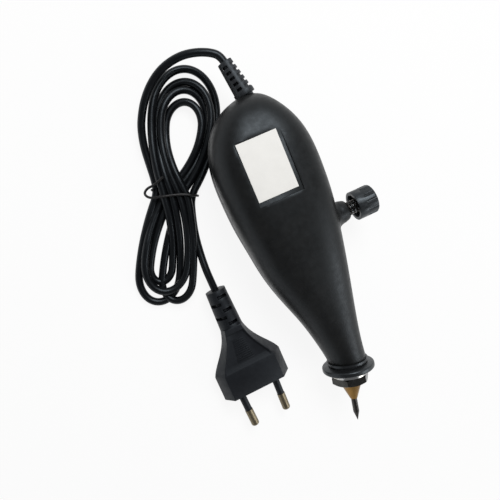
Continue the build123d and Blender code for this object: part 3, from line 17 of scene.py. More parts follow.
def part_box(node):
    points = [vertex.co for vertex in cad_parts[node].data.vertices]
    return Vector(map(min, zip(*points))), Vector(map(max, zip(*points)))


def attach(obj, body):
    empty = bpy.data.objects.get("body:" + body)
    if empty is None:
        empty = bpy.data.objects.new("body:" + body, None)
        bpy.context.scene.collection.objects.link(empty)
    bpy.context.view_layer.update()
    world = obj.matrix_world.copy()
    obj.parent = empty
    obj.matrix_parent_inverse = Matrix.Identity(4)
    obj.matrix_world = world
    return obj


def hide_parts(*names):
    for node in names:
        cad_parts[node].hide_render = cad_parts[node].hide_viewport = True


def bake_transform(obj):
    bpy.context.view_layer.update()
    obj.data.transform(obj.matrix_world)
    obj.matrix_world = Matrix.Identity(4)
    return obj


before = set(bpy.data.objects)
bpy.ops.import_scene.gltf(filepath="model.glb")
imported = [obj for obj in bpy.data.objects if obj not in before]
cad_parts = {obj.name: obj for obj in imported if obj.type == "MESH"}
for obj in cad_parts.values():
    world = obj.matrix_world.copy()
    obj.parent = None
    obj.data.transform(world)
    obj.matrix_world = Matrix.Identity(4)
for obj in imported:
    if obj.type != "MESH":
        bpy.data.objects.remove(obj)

LOG = logging.getLogger("engraving_pen")
MM = 0.001
MICRON = 1e-6
Point = tuple[float, float, float]
Colour = tuple[float, float, float]


class Pattern(Enum):
    """How the fine marks of a finish lie."""

    GRAIN = "grain"
    TURNED = "turned"
    PLAIN = "plain"


class Shader:
    """A principled material under construction."""

    def __init__(self, name: str) -> None:
        """Starts an empty principled material that reads Object coordinates.

        Args:
            name: the material's name.
        """
        self.material = bpy.data.materials.new(name)
        self.material.use_nodes = True
        self.tree = self.material.node_tree
        self.surface = self.tree.nodes["Principled BSDF"]
        self.object_coords = self.add("ShaderNodeTexCoord").outputs["Object"]

    def add(self, kind: str, **settings: object) -> bpy.types.Node:
        """Adds a node and sets its own options.

        Args:
            kind: the node's type name.
            **settings: options such as operation or blend_type.

        Returns:
            The new node.
        """
        node = self.tree.nodes.new(kind)
        for key, value in settings.items():
            setattr(node, key, value)
        return node

    def join(self, source: bpy.types.NodeSocket, target: bpy.types.NodeSocket) -> None:
        """Links an output to an input."""
        self.tree.links.new(source, target)

    def seen(self, low: float, high: float) -> bpy.types.NodeSocket:
        """A level that camera, glossy and transmission rays find higher than other rays do.

        Args:
            low: the level for other rays.
            high: the level for those three.

        Returns:
            The level.
        """
        rays = self.add("ShaderNodeLightPath")
        either = self.add("ShaderNodeMath", operation="MAXIMUM")
        any_of_three = self.add("ShaderNodeMath", operation="MAXIMUM")
        level = self.add("ShaderNodeMapRange")
        self.join(rays.outputs["Is Camera Ray"], either.inputs[0])
        self.join(rays.outputs["Is Glossy Ray"], either.inputs[1])
        self.join(either.outputs[0], any_of_three.inputs[0])
        self.join(rays.outputs["Is Transmission Ray"], any_of_three.inputs[1])
        self.join(any_of_three.outputs[0], level.inputs["Value"])
        level.inputs["To Min"].default_value = low
        level.inputs["To Max"].default_value = high
        return level.outputs["Result"]

    def set(self, **values: object) -> None:
        """Sets sockets of the principled node; underscores stand for the spaces in their names."""
        for key, value in values.items():
            self.surface.inputs[key.replace("_", " ")].default_value = value

    def turned(self, angle: float) -> bpy.types.NodeSocket:
        """Object coordinates turned about Z.

        Args:
            angle: turn in radians.

        Returns:
            The turned coordinates.
        """
        mapping = self.add("ShaderNodeMapping")
        mapping.inputs["Rotation"].default_value = (0.0, 0.0, angle)
        self.join(self.object_coords, mapping.inputs["Vector"])
        return mapping.outputs["Vector"]

    def noise(self, scale: float, detail: float = 3.0, coords: bpy.types.NodeSocket | None = None
              ) -> bpy.types.NodeSocket:
        """Cloudy noise.

        Args:
            scale: repeats per metre.
            detail: octaves.
            coords: coordinates, the object's own by default.

        Returns:
            The noise's value.
        """
        node = self.add("ShaderNodeTexNoise")
        node.inputs["Scale"].default_value = scale
        node.inputs["Detail"].default_value = detail
        self.join(coords or self.object_coords, node.inputs["Vector"])
        return node.outputs["Fac"]

    def spread(self, source: bpy.types.NodeSocket, low: float, high: float) -> bpy.types.NodeSocket:
        """Maps the useful middle of a noise, 0.3 to 0.7, to a range.

        Args:
            source: the noise.
            low: value at 0.3.
            high: value at 0.7.

        Returns:
            The mapped value.
        """
        node = self.add("ShaderNodeMapRange")
        for key, value in (("From Min", 0.3), ("From Max", 0.7), ("To Min", low), ("To Max", high)):
            node.inputs[key].default_value = value
        self.join(source, node.inputs["Value"])
        return node.outputs["Result"]

    def tint(self, source: bpy.types.NodeSocket, stops: list[tuple[float, Colour]]) -> None:
        """Colours the surface by a value through a ramp.

        Args:
            source: the value.
            stops: places on the ramp and their colours.
        """
        ramp = self.add("ShaderNodeValToRGB")
        while len(ramp.color_ramp.elements) < len(stops):
            ramp.color_ramp.elements.new(0.5)
        for element, (place, colour) in zip(ramp.color_ramp.elements, stops):
            element.position = place
            element.color = (*colour, 1.0)
        self.join(source, ramp.inputs["Fac"])
        self.join(ramp.outputs["Color"], self.surface.inputs["Base Color"])

    def bump(self, height: bpy.types.NodeSocket, strength: float, depth: float) -> None:
        """Roughens the surface by a height.

        Args:
            height: the height's value.
            strength: share of the bump that shows.
            depth: metres between 0 and 1 of the height.
        """
        node = self.add("ShaderNodeBump")
        node.inputs["Strength"].default_value = strength
        node.inputs["Distance"].default_value = depth
        self.join(height, node.inputs["Height"])
        self.join(node.outputs["Normal"], self.surface.inputs["Normal"])


@dataclass(frozen=True)
class Finish:
    """A finish: one base colour with mottling, worn gloss and fine marks.

    Attributes:
        name: material name.
        colour: linear base colour.
        roughness: middle roughness.
        metallic: 1 for bare metal.
        mottle: share by which the colour varies.
        worn: how much the roughness varies each way.
        marks: how the fine marks lie.
        mark_scale: marks per metre.
        mark_depth: depth of the marks in micrometres.
        second: another colour that shows in patches, or None.
        specular: specular level.
        gloss_tint: colour of the gloss, seen face on; a bluish one paints a sky's colour into the reflections.
        turn: turn of turned marks about Z, in radians.
        patch_scale: patches of colour per metre.
        scuff_scale: patches of gloss per metre.
    """

    name: str
    colour: Colour
    roughness: float
    metallic: float = 0.0
    mottle: float = 0.15
    worn: float = 0.06
    marks: Pattern = Pattern.GRAIN
    mark_scale: float = 2600.0
    mark_depth: float = 30.0
    second: Colour | None = None
    specular: float = 0.5
    gloss_tint: Colour = (1.0, 1.0, 1.0)
    turn: float = 0.0
    patch_scale: float = 160.0
    scuff_scale: float = 420.0

    @cache
    def material(self) -> bpy.types.Material:
        """Builds the finish's material.

        Returns:
            The material, made once.
        """
        shader = Shader(self.name)
        patches = shader.noise(self.patch_scale, 4.0)
        dark = tuple(value * (1 - self.mottle) for value in self.colour)
        light = self.second or tuple(value * (1 + self.mottle) for value in self.colour)
        shader.tint(patches, [(0.32, dark), (0.5, self.colour), (0.68, light)])
        gloss = shader.noise(self.scuff_scale, 5.0)
        scuffs = shader.spread(gloss, self.roughness - self.worn, self.roughness + self.worn)
        shader.join(scuffs, shader.surface.inputs["Roughness"])
        # A bluish gloss tint paints a sky's colour into the reflections.
        shader.set(Metallic=self.metallic, Specular_IOR_Level=self.specular,
                   Specular_Tint=(*self.gloss_tint, 1.0))
        if self.marks is Pattern.GRAIN:
            shader.bump(shader.noise(self.mark_scale, 2.0), 0.5, self.mark_depth * MICRON)
        elif self.marks is Pattern.TURNED:
            rings = shader.add("ShaderNodeTexWave", wave_type="BANDS", bands_direction="X")
            rings.inputs["Scale"].default_value = self.mark_scale
            rings.inputs["Distortion"].default_value = 0.6
            shader.join(shader.turned(self.turn), rings.inputs["Vector"])
            shader.bump(rings.outputs["Fac"], 0.35, self.mark_depth * MICRON)
        return shader.material


NOSE_TURN = math.radians(12.0)
CREASE = math.radians(35.0)
# Painted sky colour: a bluish tint of the black plastics' reflections, standing in for the colour of a sky seen in
# their sheen.
PAINTED_SKY_TINT = (0.80, 0.91, 1.0)
CASING = Finish("charcoal_satin", (0.0066, 0.0063, 0.0059), 0.42, mottle=0.2, mark_scale=3400.0,
                mark_depth=20.0, specular=0.3, gloss_tint=PAINTED_SKY_TINT)
KNOB = Finish("knob_black", (0.009, 0.0094, 0.0102), 0.36, mark_scale=3000.0, specular=0.5, gloss_tint=PAINTED_SKY_TINT)
BOOT_RUBBER = Finish("boot_black", (0.0145, 0.015, 0.0168), 0.48, mark_scale=2400.0, specular=0.4,
                     gloss_tint=PAINTED_SKY_TINT)
PLUG_RUBBER = Finish("plug_black", (0.0065, 0.0069, 0.0088), 0.48, mark_scale=2800.0, specular=0.3,
                     gloss_tint=PAINTED_SKY_TINT)
JACKET = Finish("jacket_gloss", (0.0034, 0.0037, 0.0044), 0.32, mark_scale=1500.0, mark_depth=10.0,
                specular=0.25, gloss_tint=PAINTED_SKY_TINT)
TIE_COAT = Finish("tie_black", (0.0085, 0.0085, 0.009), 0.4, mark_scale=2500.0, specular=0.35)
LABEL = Finish("label_bare", (0.84, 0.83, 0.80), 0.5, mottle=0.02, mark_scale=5000.0, mark_depth=10.0)
ZINC = Finish("zinc_plate", (0.50, 0.51, 0.52), 0.24, metallic=1.0, mottle=0.12, second=(0.50, 0.48, 0.42),
              mark_scale=3000.0, mark_depth=10.0)
BRASS = Finish("turned_brass", (0.215, 0.122, 0.036), 0.3, metallic=1.0, mottle=0.2, marks=Pattern.TURNED,
               mark_scale=900.0, mark_depth=20.0, turn=NOSE_TURN)
NEEDLE_STEEL = Finish("hard_steel", (0.062, 0.059, 0.057), 0.28, metallic=1.0, marks=Pattern.TURNED,
                      mark_scale=1200.0, mark_depth=10.0, turn=NOSE_TURN)
SPRING_STEEL = Finish("oiled_spring", (0.05, 0.047, 0.044), 0.3, metallic=1.0)
DARK_ZINC = Finish("dull_zinc", (0.26, 0.285, 0.30), 0.2, metallic=1.0, mottle=0.2, mark_scale=3000.0,
                   mark_depth=10.0)
NUT_STEEL = Finish("black_nut", (0.058, 0.058, 0.056), 0.26, metallic=1.0, mottle=0.25, mark_scale=3000.0,
                   mark_depth=10.0)
PIN_NICKEL = Finish("nickel_plate", (0.205, 0.175, 0.12), 0.42, metallic=1.0, mottle=0.08, mark_scale=2000.0,
                    mark_depth=10.0)
CORE_IRON = Finish("stacked_iron", (0.10, 0.095, 0.09), 0.5, metallic=1.0, marks=Pattern.PLAIN)
NYLON = Finish("pale_nylon", (0.62, 0.58, 0.48), 0.45)
COPPER = Finish("enamelled_copper", (0.35, 0.13, 0.06), 0.35, metallic=1.0, marks=Pattern.TURNED, mark_scale=700.0)
WIRE = Finish("brown_wire", (0.10, 0.035, 0.015), 0.4)


def dress(node: str, finish: Finish, edge: float = 0.0) -> None:
    """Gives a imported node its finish, smooth shading and, where asked, softened edges.

    Args:
        node: the node's name.
        finish: its finish.
        edge: width of the softened edges in metres, 0 for crisp ones.
    """
    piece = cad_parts[node]
    piece.data.materials.clear()
    piece.data.materials.append(finish.material())
    piece.data.polygons.foreach_set("use_smooth", np.ones(len(piece.data.polygons), bool))
    merge = piece.modifiers.new("merge", "WELD")
    merge.merge_threshold = MICRON
    if edge:
        soften = piece.modifiers.new("soften", "BEVEL")
        soften.width = edge
        soften.segments = 2
        soften.limit_method = "ANGLE"
        soften.angle_limit = CREASE
        soften.harden_normals = True
    crease = piece.modifiers.new("crease", "EDGE_SPLIT")
    crease.split_angle = CREASE
    LOG.info("dressed %s in %s", node, finish.name)


def surface_mesh(name: str, grid: np.ndarray, finish: Finish) -> bpy.types.Object:
    """Closed tube from a grid of points: rows along it, columns round it, each end drawn to its middle.

    Args:
        name: the object's name.
        grid: rows by columns by 3 points in metres.
        finish: its finish.

    Returns:
        The new object, at the origin.
    """
    rows, columns = grid.shape[:2]
    points = np.concatenate([grid.reshape(-1, 3), grid[0].mean(0)[None], grid[-1].mean(0)[None]])
    row, column = np.meshgrid(np.arange(rows - 1), np.arange(columns), indexing="ij")
    after = (column + 1) % columns
    quads = np.stack([row * columns + column, row * columns + after,
                      (row + 1) * columns + after, (row + 1) * columns + column], -1).reshape(-1, 4)
    ring = np.arange(columns)
    step = (ring + 1) % columns
    first = np.stack([step, ring, np.full(columns, rows * columns)], -1)
    base = (rows - 1) * columns
    last = np.stack([base + ring, base + step, np.full(columns, rows * columns + 1)], -1)
    mesh = bpy.data.meshes.new(name)
    mesh.from_pydata(points.tolist(), [], quads.tolist() + first.tolist() + last.tolist())
    mesh.polygons.foreach_set("use_smooth", np.ones(len(mesh.polygons), bool))
    mesh.materials.append(finish.material())
    piece = bpy.data.objects.new(name, mesh)
    bpy.context.collection.objects.link(piece)
    return piece


def smooth_spline(name: str, points: np.ndarray, radius: float, finish: Finish) -> bpy.types.Object:
    """Round cord on a smooth spline whose control points are given.

    Args:
        name: the object's name.
        points: control points in metres.
        radius: the cord's radius.
        finish: its finish.

    Returns:
        The curve object, at the origin.
    """
    curve = bpy.data.curves.new(name, "CURVE")
    curve.dimensions = "3D"
    spline = curve.splines.new("NURBS")
    spline.points.add(len(points) - 1)
    spline.points.foreach_set("co", np.column_stack([points, np.ones(len(points))]).ravel())
    spline.order_u = 3
    spline.use_endpoint_u = True
    spline.resolution_u = 6
    curve.bevel_depth = radius
    curve.bevel_resolution = 5
    curve.use_fill_caps = True
    curve.materials.append(finish.material())
    piece = bpy.data.objects.new(name, curve)
    bpy.context.collection.objects.link(piece)
    return piece


@dataclass(frozen=True)
class Casing:
    """The two moulded shells, the bare label and the fittings at the nose.

    Attributes:
        seam: width of the softened edges where the shells meet.
    """

    seam: float = 0.25 * MM

    def build(self) -> None:
        """Dresses the casing's nodes."""
        dress("upper_shell", CASING, self.seam)
        dress("lower_shell", CASING, self.seam)
        dress("rating_label", LABEL)
        dress("casing_screws", ZINC)
        dress("nose_collar", KNOB)
        dress("nose_ring", ZINC)
        dress("nose_nut", NUT_STEEL)
        dress("nose_sleeve", BRASS)


@dataclass(frozen=True)
class CoilSpring:
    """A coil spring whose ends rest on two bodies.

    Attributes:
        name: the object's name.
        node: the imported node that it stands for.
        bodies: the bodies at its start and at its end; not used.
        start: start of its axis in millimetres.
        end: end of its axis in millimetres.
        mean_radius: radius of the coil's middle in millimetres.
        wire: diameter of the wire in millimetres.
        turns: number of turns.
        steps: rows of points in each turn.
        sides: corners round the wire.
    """

    name: str
    node: str
    bodies: tuple[str, str]
    start: Point
    end: Point
    mean_radius: float
    wire: float
    turns: int
    steps: int = 40
    sides: int = 14

    def build(self) -> None:
        """Winds the spring: a small circle carried along a helix round the axis."""
        first, last = np.array(self.start) * MM, np.array(self.end) * MM
        reach = np.linalg.norm(last - first)
        axis = (last - first) / reach
        up = np.array([0.0, 0.0, 1.0])
        share = np.linspace(0.0, 1.0, self.turns * self.steps + 1)[:, None]
        angle = 2 * np.pi * self.turns * share
        out = np.cos(angle) * np.cross(up, axis) + np.sin(angle) * up
        length = reach - self.wire * MM
        along = self.mean_radius * MM * np.cross(axis, out) + length / (2 * np.pi * self.turns) * axis
        along /= np.linalg.norm(along, axis=1, keepdims=True)
        centre = first + axis * (self.wire * MM / 2 + length * share) + self.mean_radius * MM * out
        turn = np.linspace(0.0, 2 * np.pi, self.sides, endpoint=False)[None, :, None]
        ring = np.cos(turn) * out[:, None] + np.sin(turn) * np.cross(along, out)[:, None]
        spring = surface_mesh(self.name, centre[:, None] + self.wire * MM / 2 * ring, SPRING_STEEL)
        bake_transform(spring)
        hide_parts(self.node)
        LOG.info("wound %s", self.name)


@dataclass(frozen=True)
class Drive:
    """The vibrating arm with its needle, and the electromagnet inside.

    Attributes:
        spring: the spring between the casing's post and the arm.
    """

    spring: CoilSpring = CoilSpring("arm_spring", "return_spring", ("housing", "arm"), (57.864, 2.547, 19.0),
                                    (59.215, 8.905, 19.0), 2.0, 0.6, 4)

    def build(self) -> None:
        """Dresses the drive's nodes and winds its spring."""
        dress("needle_holder", BRASS)
        dress("needle", NEEDLE_STEEL)
        for node in ("vibrating_arm", "armature_rivets", "pivot_pin", "core_screws"):
            dress(node, ZINC)
        for node in ("armature", "magnet_core"):
            dress(node, CORE_IRON)
        dress("coil_bobbin", NYLON)
        dress("coil_winding", COPPER)
        self.spring.build()


@dataclass(frozen=True)
class Adjuster:
    """The stroke knob on its screw, with the spring that steadies it and the one that it loads.

    Attributes:
        axis_x: place of the axis along the pen.
        height: height of the axis.
        pitch: pitch of the screw's thread.
        thread: depth of the thread.
        flat: how much of the thread's depth is cut off flat at its crest and at its root.
        steps: rows of points in each pitch of the thread.
        sides: corners round the screw.
        edge: width of the knob's softened edges.
        springs: the spring in the knob's cup, and the one between the arm and the screw's tip.
    """

    axis_x: float = 34.2 * MM
    height: float = 19.0 * MM
    pitch: float = 0.8 * MM
    thread: float = 0.35 * MM
    flat: float = 0.2
    steps: int = 10
    sides: int = 40
    edge: float = 0.15 * MM
    springs: tuple[CoilSpring, ...] = (
        CoilSpring("stroke_spring", "adjuster_spring", ("housing", "adjuster_slide"), (34.2, 29.2, 19.0),
                   (34.2, 38.7, 19.0), 3.05, 0.8, 6),
        CoilSpring("arm_preload", "preload_spring", ("housing", "adjuster_slide"), (34.2, 18.66, 19.0),
                   (34.2, 23.45, 19.0), 1.8, 0.5, 4))

    def screw(self) -> bpy.types.Object:
        """Threaded rod: a cylinder whose radius falls and rises once per pitch along a helix.

        Returns:
            The screw.
        """
        low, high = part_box("adjuster_screw")
        crest = (high.x - low.x) / 2
        rows = int((high.y - low.y) / self.pitch * self.steps)
        along, turn = np.meshgrid(np.linspace(low.y, high.y, rows),
                                  np.linspace(0, 2 * np.pi, self.sides, endpoint=False), indexing="ij")
        phase = (along - low.y) / self.pitch - turn / (2 * np.pi)
        wave = 1 - np.abs(2 * (phase - np.floor(phase)) - 1)
        radius = crest - self.thread * np.clip((1 + 2 * self.flat) * wave - self.flat, 0.0, 1.0)
        grid = np.stack([self.axis_x + radius * np.sin(turn), along, self.height + radius * np.cos(turn)], -1)
        return surface_mesh("stroke_screw", grid, DARK_ZINC)

    def build(self) -> None:
        """Dresses the knob, cuts its screw and winds the springs."""
        dress("adjuster_knob", KNOB, self.edge)
        dress("spring_washer", DARK_ZINC)
        dress("insert_nut", BRASS)
        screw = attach(self.screw(), "adjuster")
        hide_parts("adjuster_screw")
        for spring in self.springs:
            spring.build()
        LOG.info("made the knob's screw and springs")


@dataclass(frozen=True)
class Loop:
    """One loop of the hank, in the hank's own frame: across, along and up, in millimetres.

    Attributes:
        left: how far across its left leg runs.
        right: how far across its right leg runs.
        end: how far along it reaches.
        left_z: height of its left leg.
        right_z: height of its right leg.
    """

    left: float
    right: float
    end: float
    left_z: float
    right_z: float


@dataclass(frozen=True)
class Hank:
    """The tied stretch of cord: four loops above the tie and four below, crossing at the tie.

    A leg leaves the tie slanting and ends upright at the loop's shoulder, and each loop closes with half an
    ellipse. Right legs below go over the tie to left legs above, right legs above go under it to left legs below.

    Attributes:
        origin: middle of the tie on the table.
        turn: turn of the hank's frame about Z.
        radius: radius of the cord.
        low: height of the strands under the crossing.
        high: height of the strands over it.
        waist: share of a leg that stays at the crossing's height.
        settled: share of a leg where it has come to its shoulder's height.
        shoulder: least share of a loop's reach where its legs end.
        depth: most that a loop's bow may be deep, against half the loop's width.
        lower: loops below the tie, in the order that the cord runs through them.
        upper: loops above the tie, in the same order.
        over: places across of the strands that go over, in that order.
        under: places across of the strands that go under, in that order.
        first: place across of the strand that comes from the pen.
        last: place across of the strand that leaves for the plug.
    """

    origin: tuple[float, float] = (-4.13, -41.97)
    turn: float = math.radians(61.5)
    radius: float = 1.85
    low: float = 3.3
    high: float = 7.0
    waist: float = 0.3
    settled: float = 0.8
    shoulder: float = 0.64
    depth: float = 1.35
    lower: tuple[Loop, ...] = (Loop(-14.1, 5.5, -52.2, 1.95, 1.95), Loop(-3.0, 11.6, -50.7, 1.95, 5.4),
                               Loop(-11.8, 8.6, -46.5, 5.4, 5.4), Loop(-9.0, 1.6, -42.3, 1.95, 1.95))
    upper: tuple[Loop, ...] = (Loop(-11.1, 14.3, 53.4, 1.95, 5.4), Loop(-6.7, 10.1, 44.0, 1.95, 5.4),
                               Loop(-9.3, 12.8, 49.6, 5.4, 1.95), Loop(-13.7, 17.3, 59.3, 5.4, 1.95))
    over: tuple[float, ...] = (-1.65, 5.85, 2.1, -5.4)
    under: tuple[float, ...] = (2.9, -4.6, -0.85)
    first: float = -8.3
    last: float = 7.6

    def leg(self, start: float, start_z: float, across: float, up: float, height: float) -> np.ndarray:
        """Points of one leg from the tie to its shoulder.

        With s the share of the leg, the slant eases off like 2s - s squared, and the height follows the smooth
        step 3r squared - 2r cubed, where r runs from 0 to 1 between the waist and where the leg has settled.

        Args:
            start: place across at the tie.
            start_z: height at the tie.
            across: place across at the shoulder.
            up: place along of the shoulder.
            height: height at the shoulder.

        Returns:
            Four points, without the shoulder itself.
        """
        s = np.arange(4) / 4
        rise = np.clip((s - self.waist) / (self.settled - self.waist), 0.0, 1.0)
        rise = rise * rise * (3 - 2 * rise)
        return np.stack([start + (across - start) * s * (2 - s), up * s, start_z + (height - start_z) * rise], -1)

    def base(self, loop: Loop) -> float:
        """How far along a loop's legs end and its bow begins."""
        bow = min((1 - self.shoulder) * abs(loop.end), self.depth * (loop.right - loop.left) / 2)
        return math.copysign(abs(loop.end) - bow, loop.end)

    def bow(self, loop: Loop) -> np.ndarray:
        """Points of a loop's end from its left to its right shoulder, along half an ellipse.

        Args:
            loop: the loop.

        Returns:
            Nine points.
        """
        angle = np.linspace(0.0, np.pi, 9)
        share = (1 - np.cos(angle)) / 2
        base = self.base(loop)
        return np.stack([loop.left + (loop.right - loop.left) * share, base + (loop.end - base) * np.sin(angle),
                         loop.left_z + (loop.right_z - loop.left_z) * share], -1)

    def turn_of(self, loop: Loop, enter: tuple[float, float], leave: tuple[float, float]) -> np.ndarray:
        """Points of one whole loop, in along its left leg and back along its right one.

        Args:
            loop: the loop.
            enter: place across and height at the tie where it begins.
            leave: place across and height at the tie where it ends.

        Returns:
            The points, without the last one at the tie.
        """
        base = self.base(loop)
        inward = self.leg(*enter, loop.left, base, loop.left_z)
        outward = self.leg(*leave, loop.right, base, loop.right_z)
        return np.concatenate([inward, self.bow(loop), outward[:0:-1]])

    def points(self) -> np.ndarray:
        """Control points of the whole hank in the pen's frame, in millimetres."""
        under = [(self.first, self.low), *((place, self.low) for place in self.under), (self.last, self.low)]
        over = [(place, self.high) for place in self.over]
        turns = []
        for i, (below, above) in enumerate(zip(self.lower, self.upper)):
            turns.append(self.turn_of(below, under[i], over[i]))
            turns.append(self.turn_of(above, over[i], under[i + 1]))
        return self.place(np.concatenate(turns))

    def place(self, local: np.ndarray) -> np.ndarray:
        """Points of the hank's own frame in the pen's frame, in millimetres."""
        c, s = math.cos(self.turn), math.sin(self.turn)
        x = self.origin[0] + c * local[:, 0] - s * local[:, 1]
        y = self.origin[1] + s * local[:, 0] + c * local[:, 1]
        return np.stack([x, y, local[:, 2]], -1)


@dataclass(frozen=True)
class Cord:
    """The mains cord from its boot through the hank to the plug, and the tie round the hank.

    Attributes:
        hank: the tied stretch.
        boot_tip: where the cord leaves its boot.
        lead: points of the free stretch from the boot to the tie.
        tail: points from the tie to the plug, in the hank's frame.
        plug_end: where the cord enters the plug.
        plug_run: straight run into the plug.
        length: whole visible length in metres; not used.
        tie: points of the tie in the hank's frame: free end, loop to the left, over, down and back below.
        tie_radius: radius of the tie.
    """

    hank: Hank
    boot_tip: Point = (-49.088, 1.156, 19.0)
    lead: tuple[Point, ...] = (
        (-52.4, 0.5, 19.0), (-55.3, -3.2, 18.5), (-57.6, -8.4, 17.5), (-58.9, -14.2, 16.2), (-58.7, -19.9, 14.6),
        (-57.2, -25.8, 12.8), (-53.9, -31.6, 10.8), (-49.2, -36.7, 8.9), (-43.9, -40.6, 7.2), (-38.2, -43.7, 5.7),
        (-30.0, -46.0, 4.4), (-21.0, -47.0, 3.6), (-13.8, -47.8, 3.3))
    tail: tuple[Point, ...] = ((7.6, 0.0, 3.3), (9.0, -9.0, 3.4), (11.0, -18.0, 3.9), (14.2, -27.0, 4.9))
    plug_end: Point = (45.2, -43.2, 6.85)
    plug_run: float = 5.2
    length: float = 1.08
    tie: tuple[Point, ...] = (
        (-6.2, 7.6, 10.2), (-9.6, 3.6, 9.4), (-13.0, 1.9, 7.5), (-14.4, -0.9, 6.4), (-11.8, -2.7, 7.4),
        (-7.2, -1.7, 9.6), (-2.0, -0.4, 9.9), (3.0, 0.5, 9.9), (7.6, 0.6, 9.6), (10.6, 0.6, 7.2),
        (10.9, 0.7, 3.5), (9.5, 0.8, 0.7), (0.0, 1.0, 0.7), (-9.6, 1.2, 0.7), (-11.2, 1.3, 3.0), (-10.6, 1.4, 6.0))
    tie_radius: float = 0.6

    def route(self) -> np.ndarray:
        """Control points of the whole cord, in millimetres."""
        plug = np.array(self.plug_end)
        tail = self.hank.place(np.array(self.tail))
        ends = np.stack([plug - (2 * self.plug_run, 0.0, 0.2), plug - (self.plug_run, 0.0, 0.0), plug])
        return np.concatenate([np.array([self.boot_tip, *self.lead]), self.hank.points(), tail, ends])

    def build(self) -> None:
        """Makes the cord and its tie."""
        cord = smooth_spline("mains_cord", self.route() * MM, self.hank.radius * MM, JACKET)
        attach(cord, "housing")
        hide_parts("cord_lead", "cord_hank", "cord_tail")
        tie_points = self.hank.place(np.array(self.tie))
        tie = smooth_spline("cord_tie_wire", tie_points * MM, self.tie_radius * MM, TIE_COAT)
        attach(tie, "housing")
        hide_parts("cord_tie")
        LOG.info("made the cord and its tie")


@dataclass(frozen=True)
class CordFittings:
    """What holds the cord at its two ends: boot and clamp at the pen, plug at the wall.

    Attributes:
        boot_edge: width of the boot's softened edges.
        plug_edge: width of the plug's softened edges.
    """

    boot_edge: float = 0.15 * MM
    plug_edge: float = 0.2 * MM

    def build(self) -> None:
        """Dresses the fittings' nodes."""
        dress("cable_boot", BOOT_RUBBER, self.boot_edge)
        dress("cord_inner", JACKET)
        dress("cord_clamp", KNOB)
        dress("clamp_screws", ZINC)
        dress("lead_wires", WIRE)
        dress("plug_body", PLUG_RUBBER, self.plug_edge)
        dress("pin_sleeves", PLUG_RUBBER)
        dress("plug_pins", PIN_NICKEL)


@dataclass(frozen=True)
class Lamp:
    """A square soft lamp.

    Attributes:
        name: its name.
        place: its place in metres.
        size: length of its side.
        power: its power in watts.
    """

    name: str
    place: Point
    size: float
    power: float

    def build(self, target: Point) -> None:
        """Hangs the lamp and turns it to a target.

        Args:
            target: the point that it shines at.
        """
        data = bpy.data.lights.new(self.name, "AREA")
        data.shape = "SQUARE"
        data.size = self.size
        data.energy = self.power
        lamp = bpy.data.objects.new(self.name, data)
        aim = Vector(self.place) - Vector(target)
        lamp.matrix_world = Matrix.Translation(self.place) @ aim.to_track_quat("Z", "Y").to_matrix().to_4x4()
        bpy.context.collection.objects.link(lamp)


@dataclass(frozen=True)
class Floor:
    """White dish under and round the pen: a flat disc whose far rim rises in a quarter of an ellipse.

    The camera and reflections see it as almost white, and it keeps a faint shadow.

    Attributes:
        flat: reach of the flat part.
        bend: how much further the rim reaches.
        rim: height of the rim.
        below: how far the floor lies under the pen.
        steps: rings of points in the rim.
        sides: corners round it.
        glow: share of its own white in what the camera sees.
    """

    flat: float = 2.0
    bend: float = 1.2
    rim: float = 1.5
    below: float = 0.2 * MM
    steps: int = 9
    sides: int = 64
    glow: float = 0.9

    def mesh(self) -> bpy.types.Mesh:
        """The dish as rings of points, closed in the middle with one face.

        Returns:
            The mesh.
        """
        rise = np.linspace(0.0, np.pi / 2, self.steps)
        reach = np.concatenate([[self.flat / 4, self.flat / 2], self.flat + self.bend * np.sin(rise)])
        height = np.concatenate([[0.0, 0.0], self.rim * (1 - np.cos(rise))]) - self.below
        turn = np.linspace(0.0, 2 * np.pi, self.sides, endpoint=False)
        grid = np.stack([reach[:, None] * np.cos(turn), reach[:, None] * np.sin(turn),
                         np.broadcast_to(height[:, None], (len(reach), self.sides))], -1)
        column = np.arange(self.sides)
        after = (column + 1) % self.sides
        row = np.arange(len(reach) - 1)[:, None] * self.sides
        outer = row + self.sides
        quads = np.stack([row + column, outer + column, outer + after, row + after], -1).reshape(-1, 4)
        mesh = bpy.data.meshes.new("floor")
        mesh.from_pydata(grid.reshape(-1, 3).tolist(), [], [column.tolist(), *quads.tolist()])
        return mesh

    def build(self) -> None:
        """Lays the floor and paints it."""
        shader = Shader("white_floor")
        shader.set(Base_Color=(0.9, 0.9, 0.9, 1.0), Roughness=0.9)
        light = shader.add("ShaderNodeEmission")
        mix = shader.add("ShaderNodeMixShader")
        shader.join(shader.seen(0.0, self.glow), mix.inputs[0])
        shader.join(shader.surface.outputs["BSDF"], mix.inputs[1])
        shader.join(light.outputs["Emission"], mix.inputs[2])
        shader.join(mix.outputs["Shader"], shader.tree.nodes["Material Output"].inputs["Surface"])
        mesh = self.mesh()
        mesh.materials.append(shader.material)
        plate = bpy.data.objects.new("floor", mesh)
        bpy.context.collection.objects.link(plate)


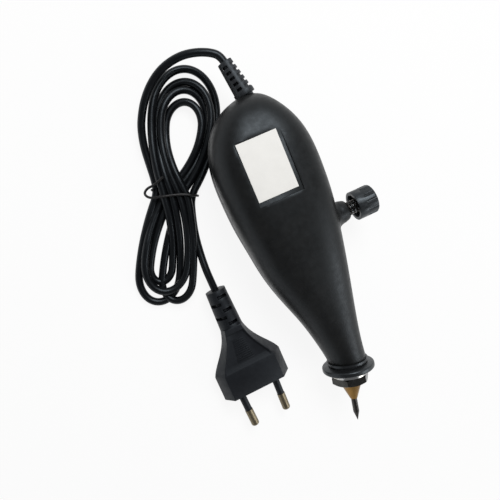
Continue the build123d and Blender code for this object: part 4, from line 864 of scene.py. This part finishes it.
@dataclass(frozen=True)
class Studio:
    """The photograph's camera and its soft light: a box above the boot's end, a weak lamp past the knob.

    Attributes:
        place: the camera's place in metres.
        right: direction to the image's right.
        up: direction to the image's top.
        back: direction from the scene to the camera.
        lens: focal length in millimetres.
        sensor: width of the camera's sensor in millimetres.
        target: the point that the lamps shine at.
        lamps: the lamps.
        ambient: strength of the even light from all round.
    """

    place: Point = (-0.0043, -0.05569, 0.24502)
    right: Point = (0.3901, 0.8989, 0.1994)
    up: Point = (-0.9069, 0.4125, -0.0854)
    back: Point = (-0.159, -0.1475, 0.9762)
    lens: float = 36.0
    sensor: float = 36.0
    target: Point = (0.02, -0.01, 0.02)
    lamps: tuple[Lamp, ...] = (Lamp("soft_box", (-0.30, 0.17, 0.57), 0.36, 3.6),
                               Lamp("right", (0.42, 0.42, 0.38), 0.30, 1.2))
    ambient: float = 0.2

    def camera(self) -> None:
        """Places the camera as the photograph's was."""
        data = bpy.data.cameras.new("photo_camera")
        data.sensor_width = self.sensor
        data.lens = self.lens
        data.clip_start = 10 * MM
        camera = bpy.data.objects.new("photo_camera", data)
        turn = Matrix((self.right, self.up, self.back)).transposed().to_4x4()
        camera.matrix_world = Matrix.Translation(self.place) @ turn
        bpy.context.collection.objects.link(camera)
        bpy.context.scene.camera = camera

    def world(self) -> None:
        """Even white light from all round."""
        world = bpy.data.worlds.new("studio")
        world.use_nodes = True
        sky = world.node_tree.nodes["Background"].inputs
        sky["Color"].default_value = (1.0, 1.0, 1.0, 1.0)
        sky["Strength"].default_value = self.ambient
        bpy.context.scene.world = world

    def build(self) -> None:
        """Sets up camera, light and colour handling."""
        self.camera()
        self.world()
        for lamp in self.lamps:
            lamp.build(self.target)
        bpy.context.scene.view_settings.view_transform = "Standard"


def main() -> None:
    """Builds the scene's pieces in order."""
    logging.basicConfig(level=logging.INFO, format="%(message)s")
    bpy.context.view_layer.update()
    for assembly in (Studio(), Floor(), Cord(Hank()), CordFittings(), Casing(), Drive(), Adjuster()):
        assembly.build()
        LOG.info("built %s", type(assembly).__name__)


if __name__ == "__main__":
    main()
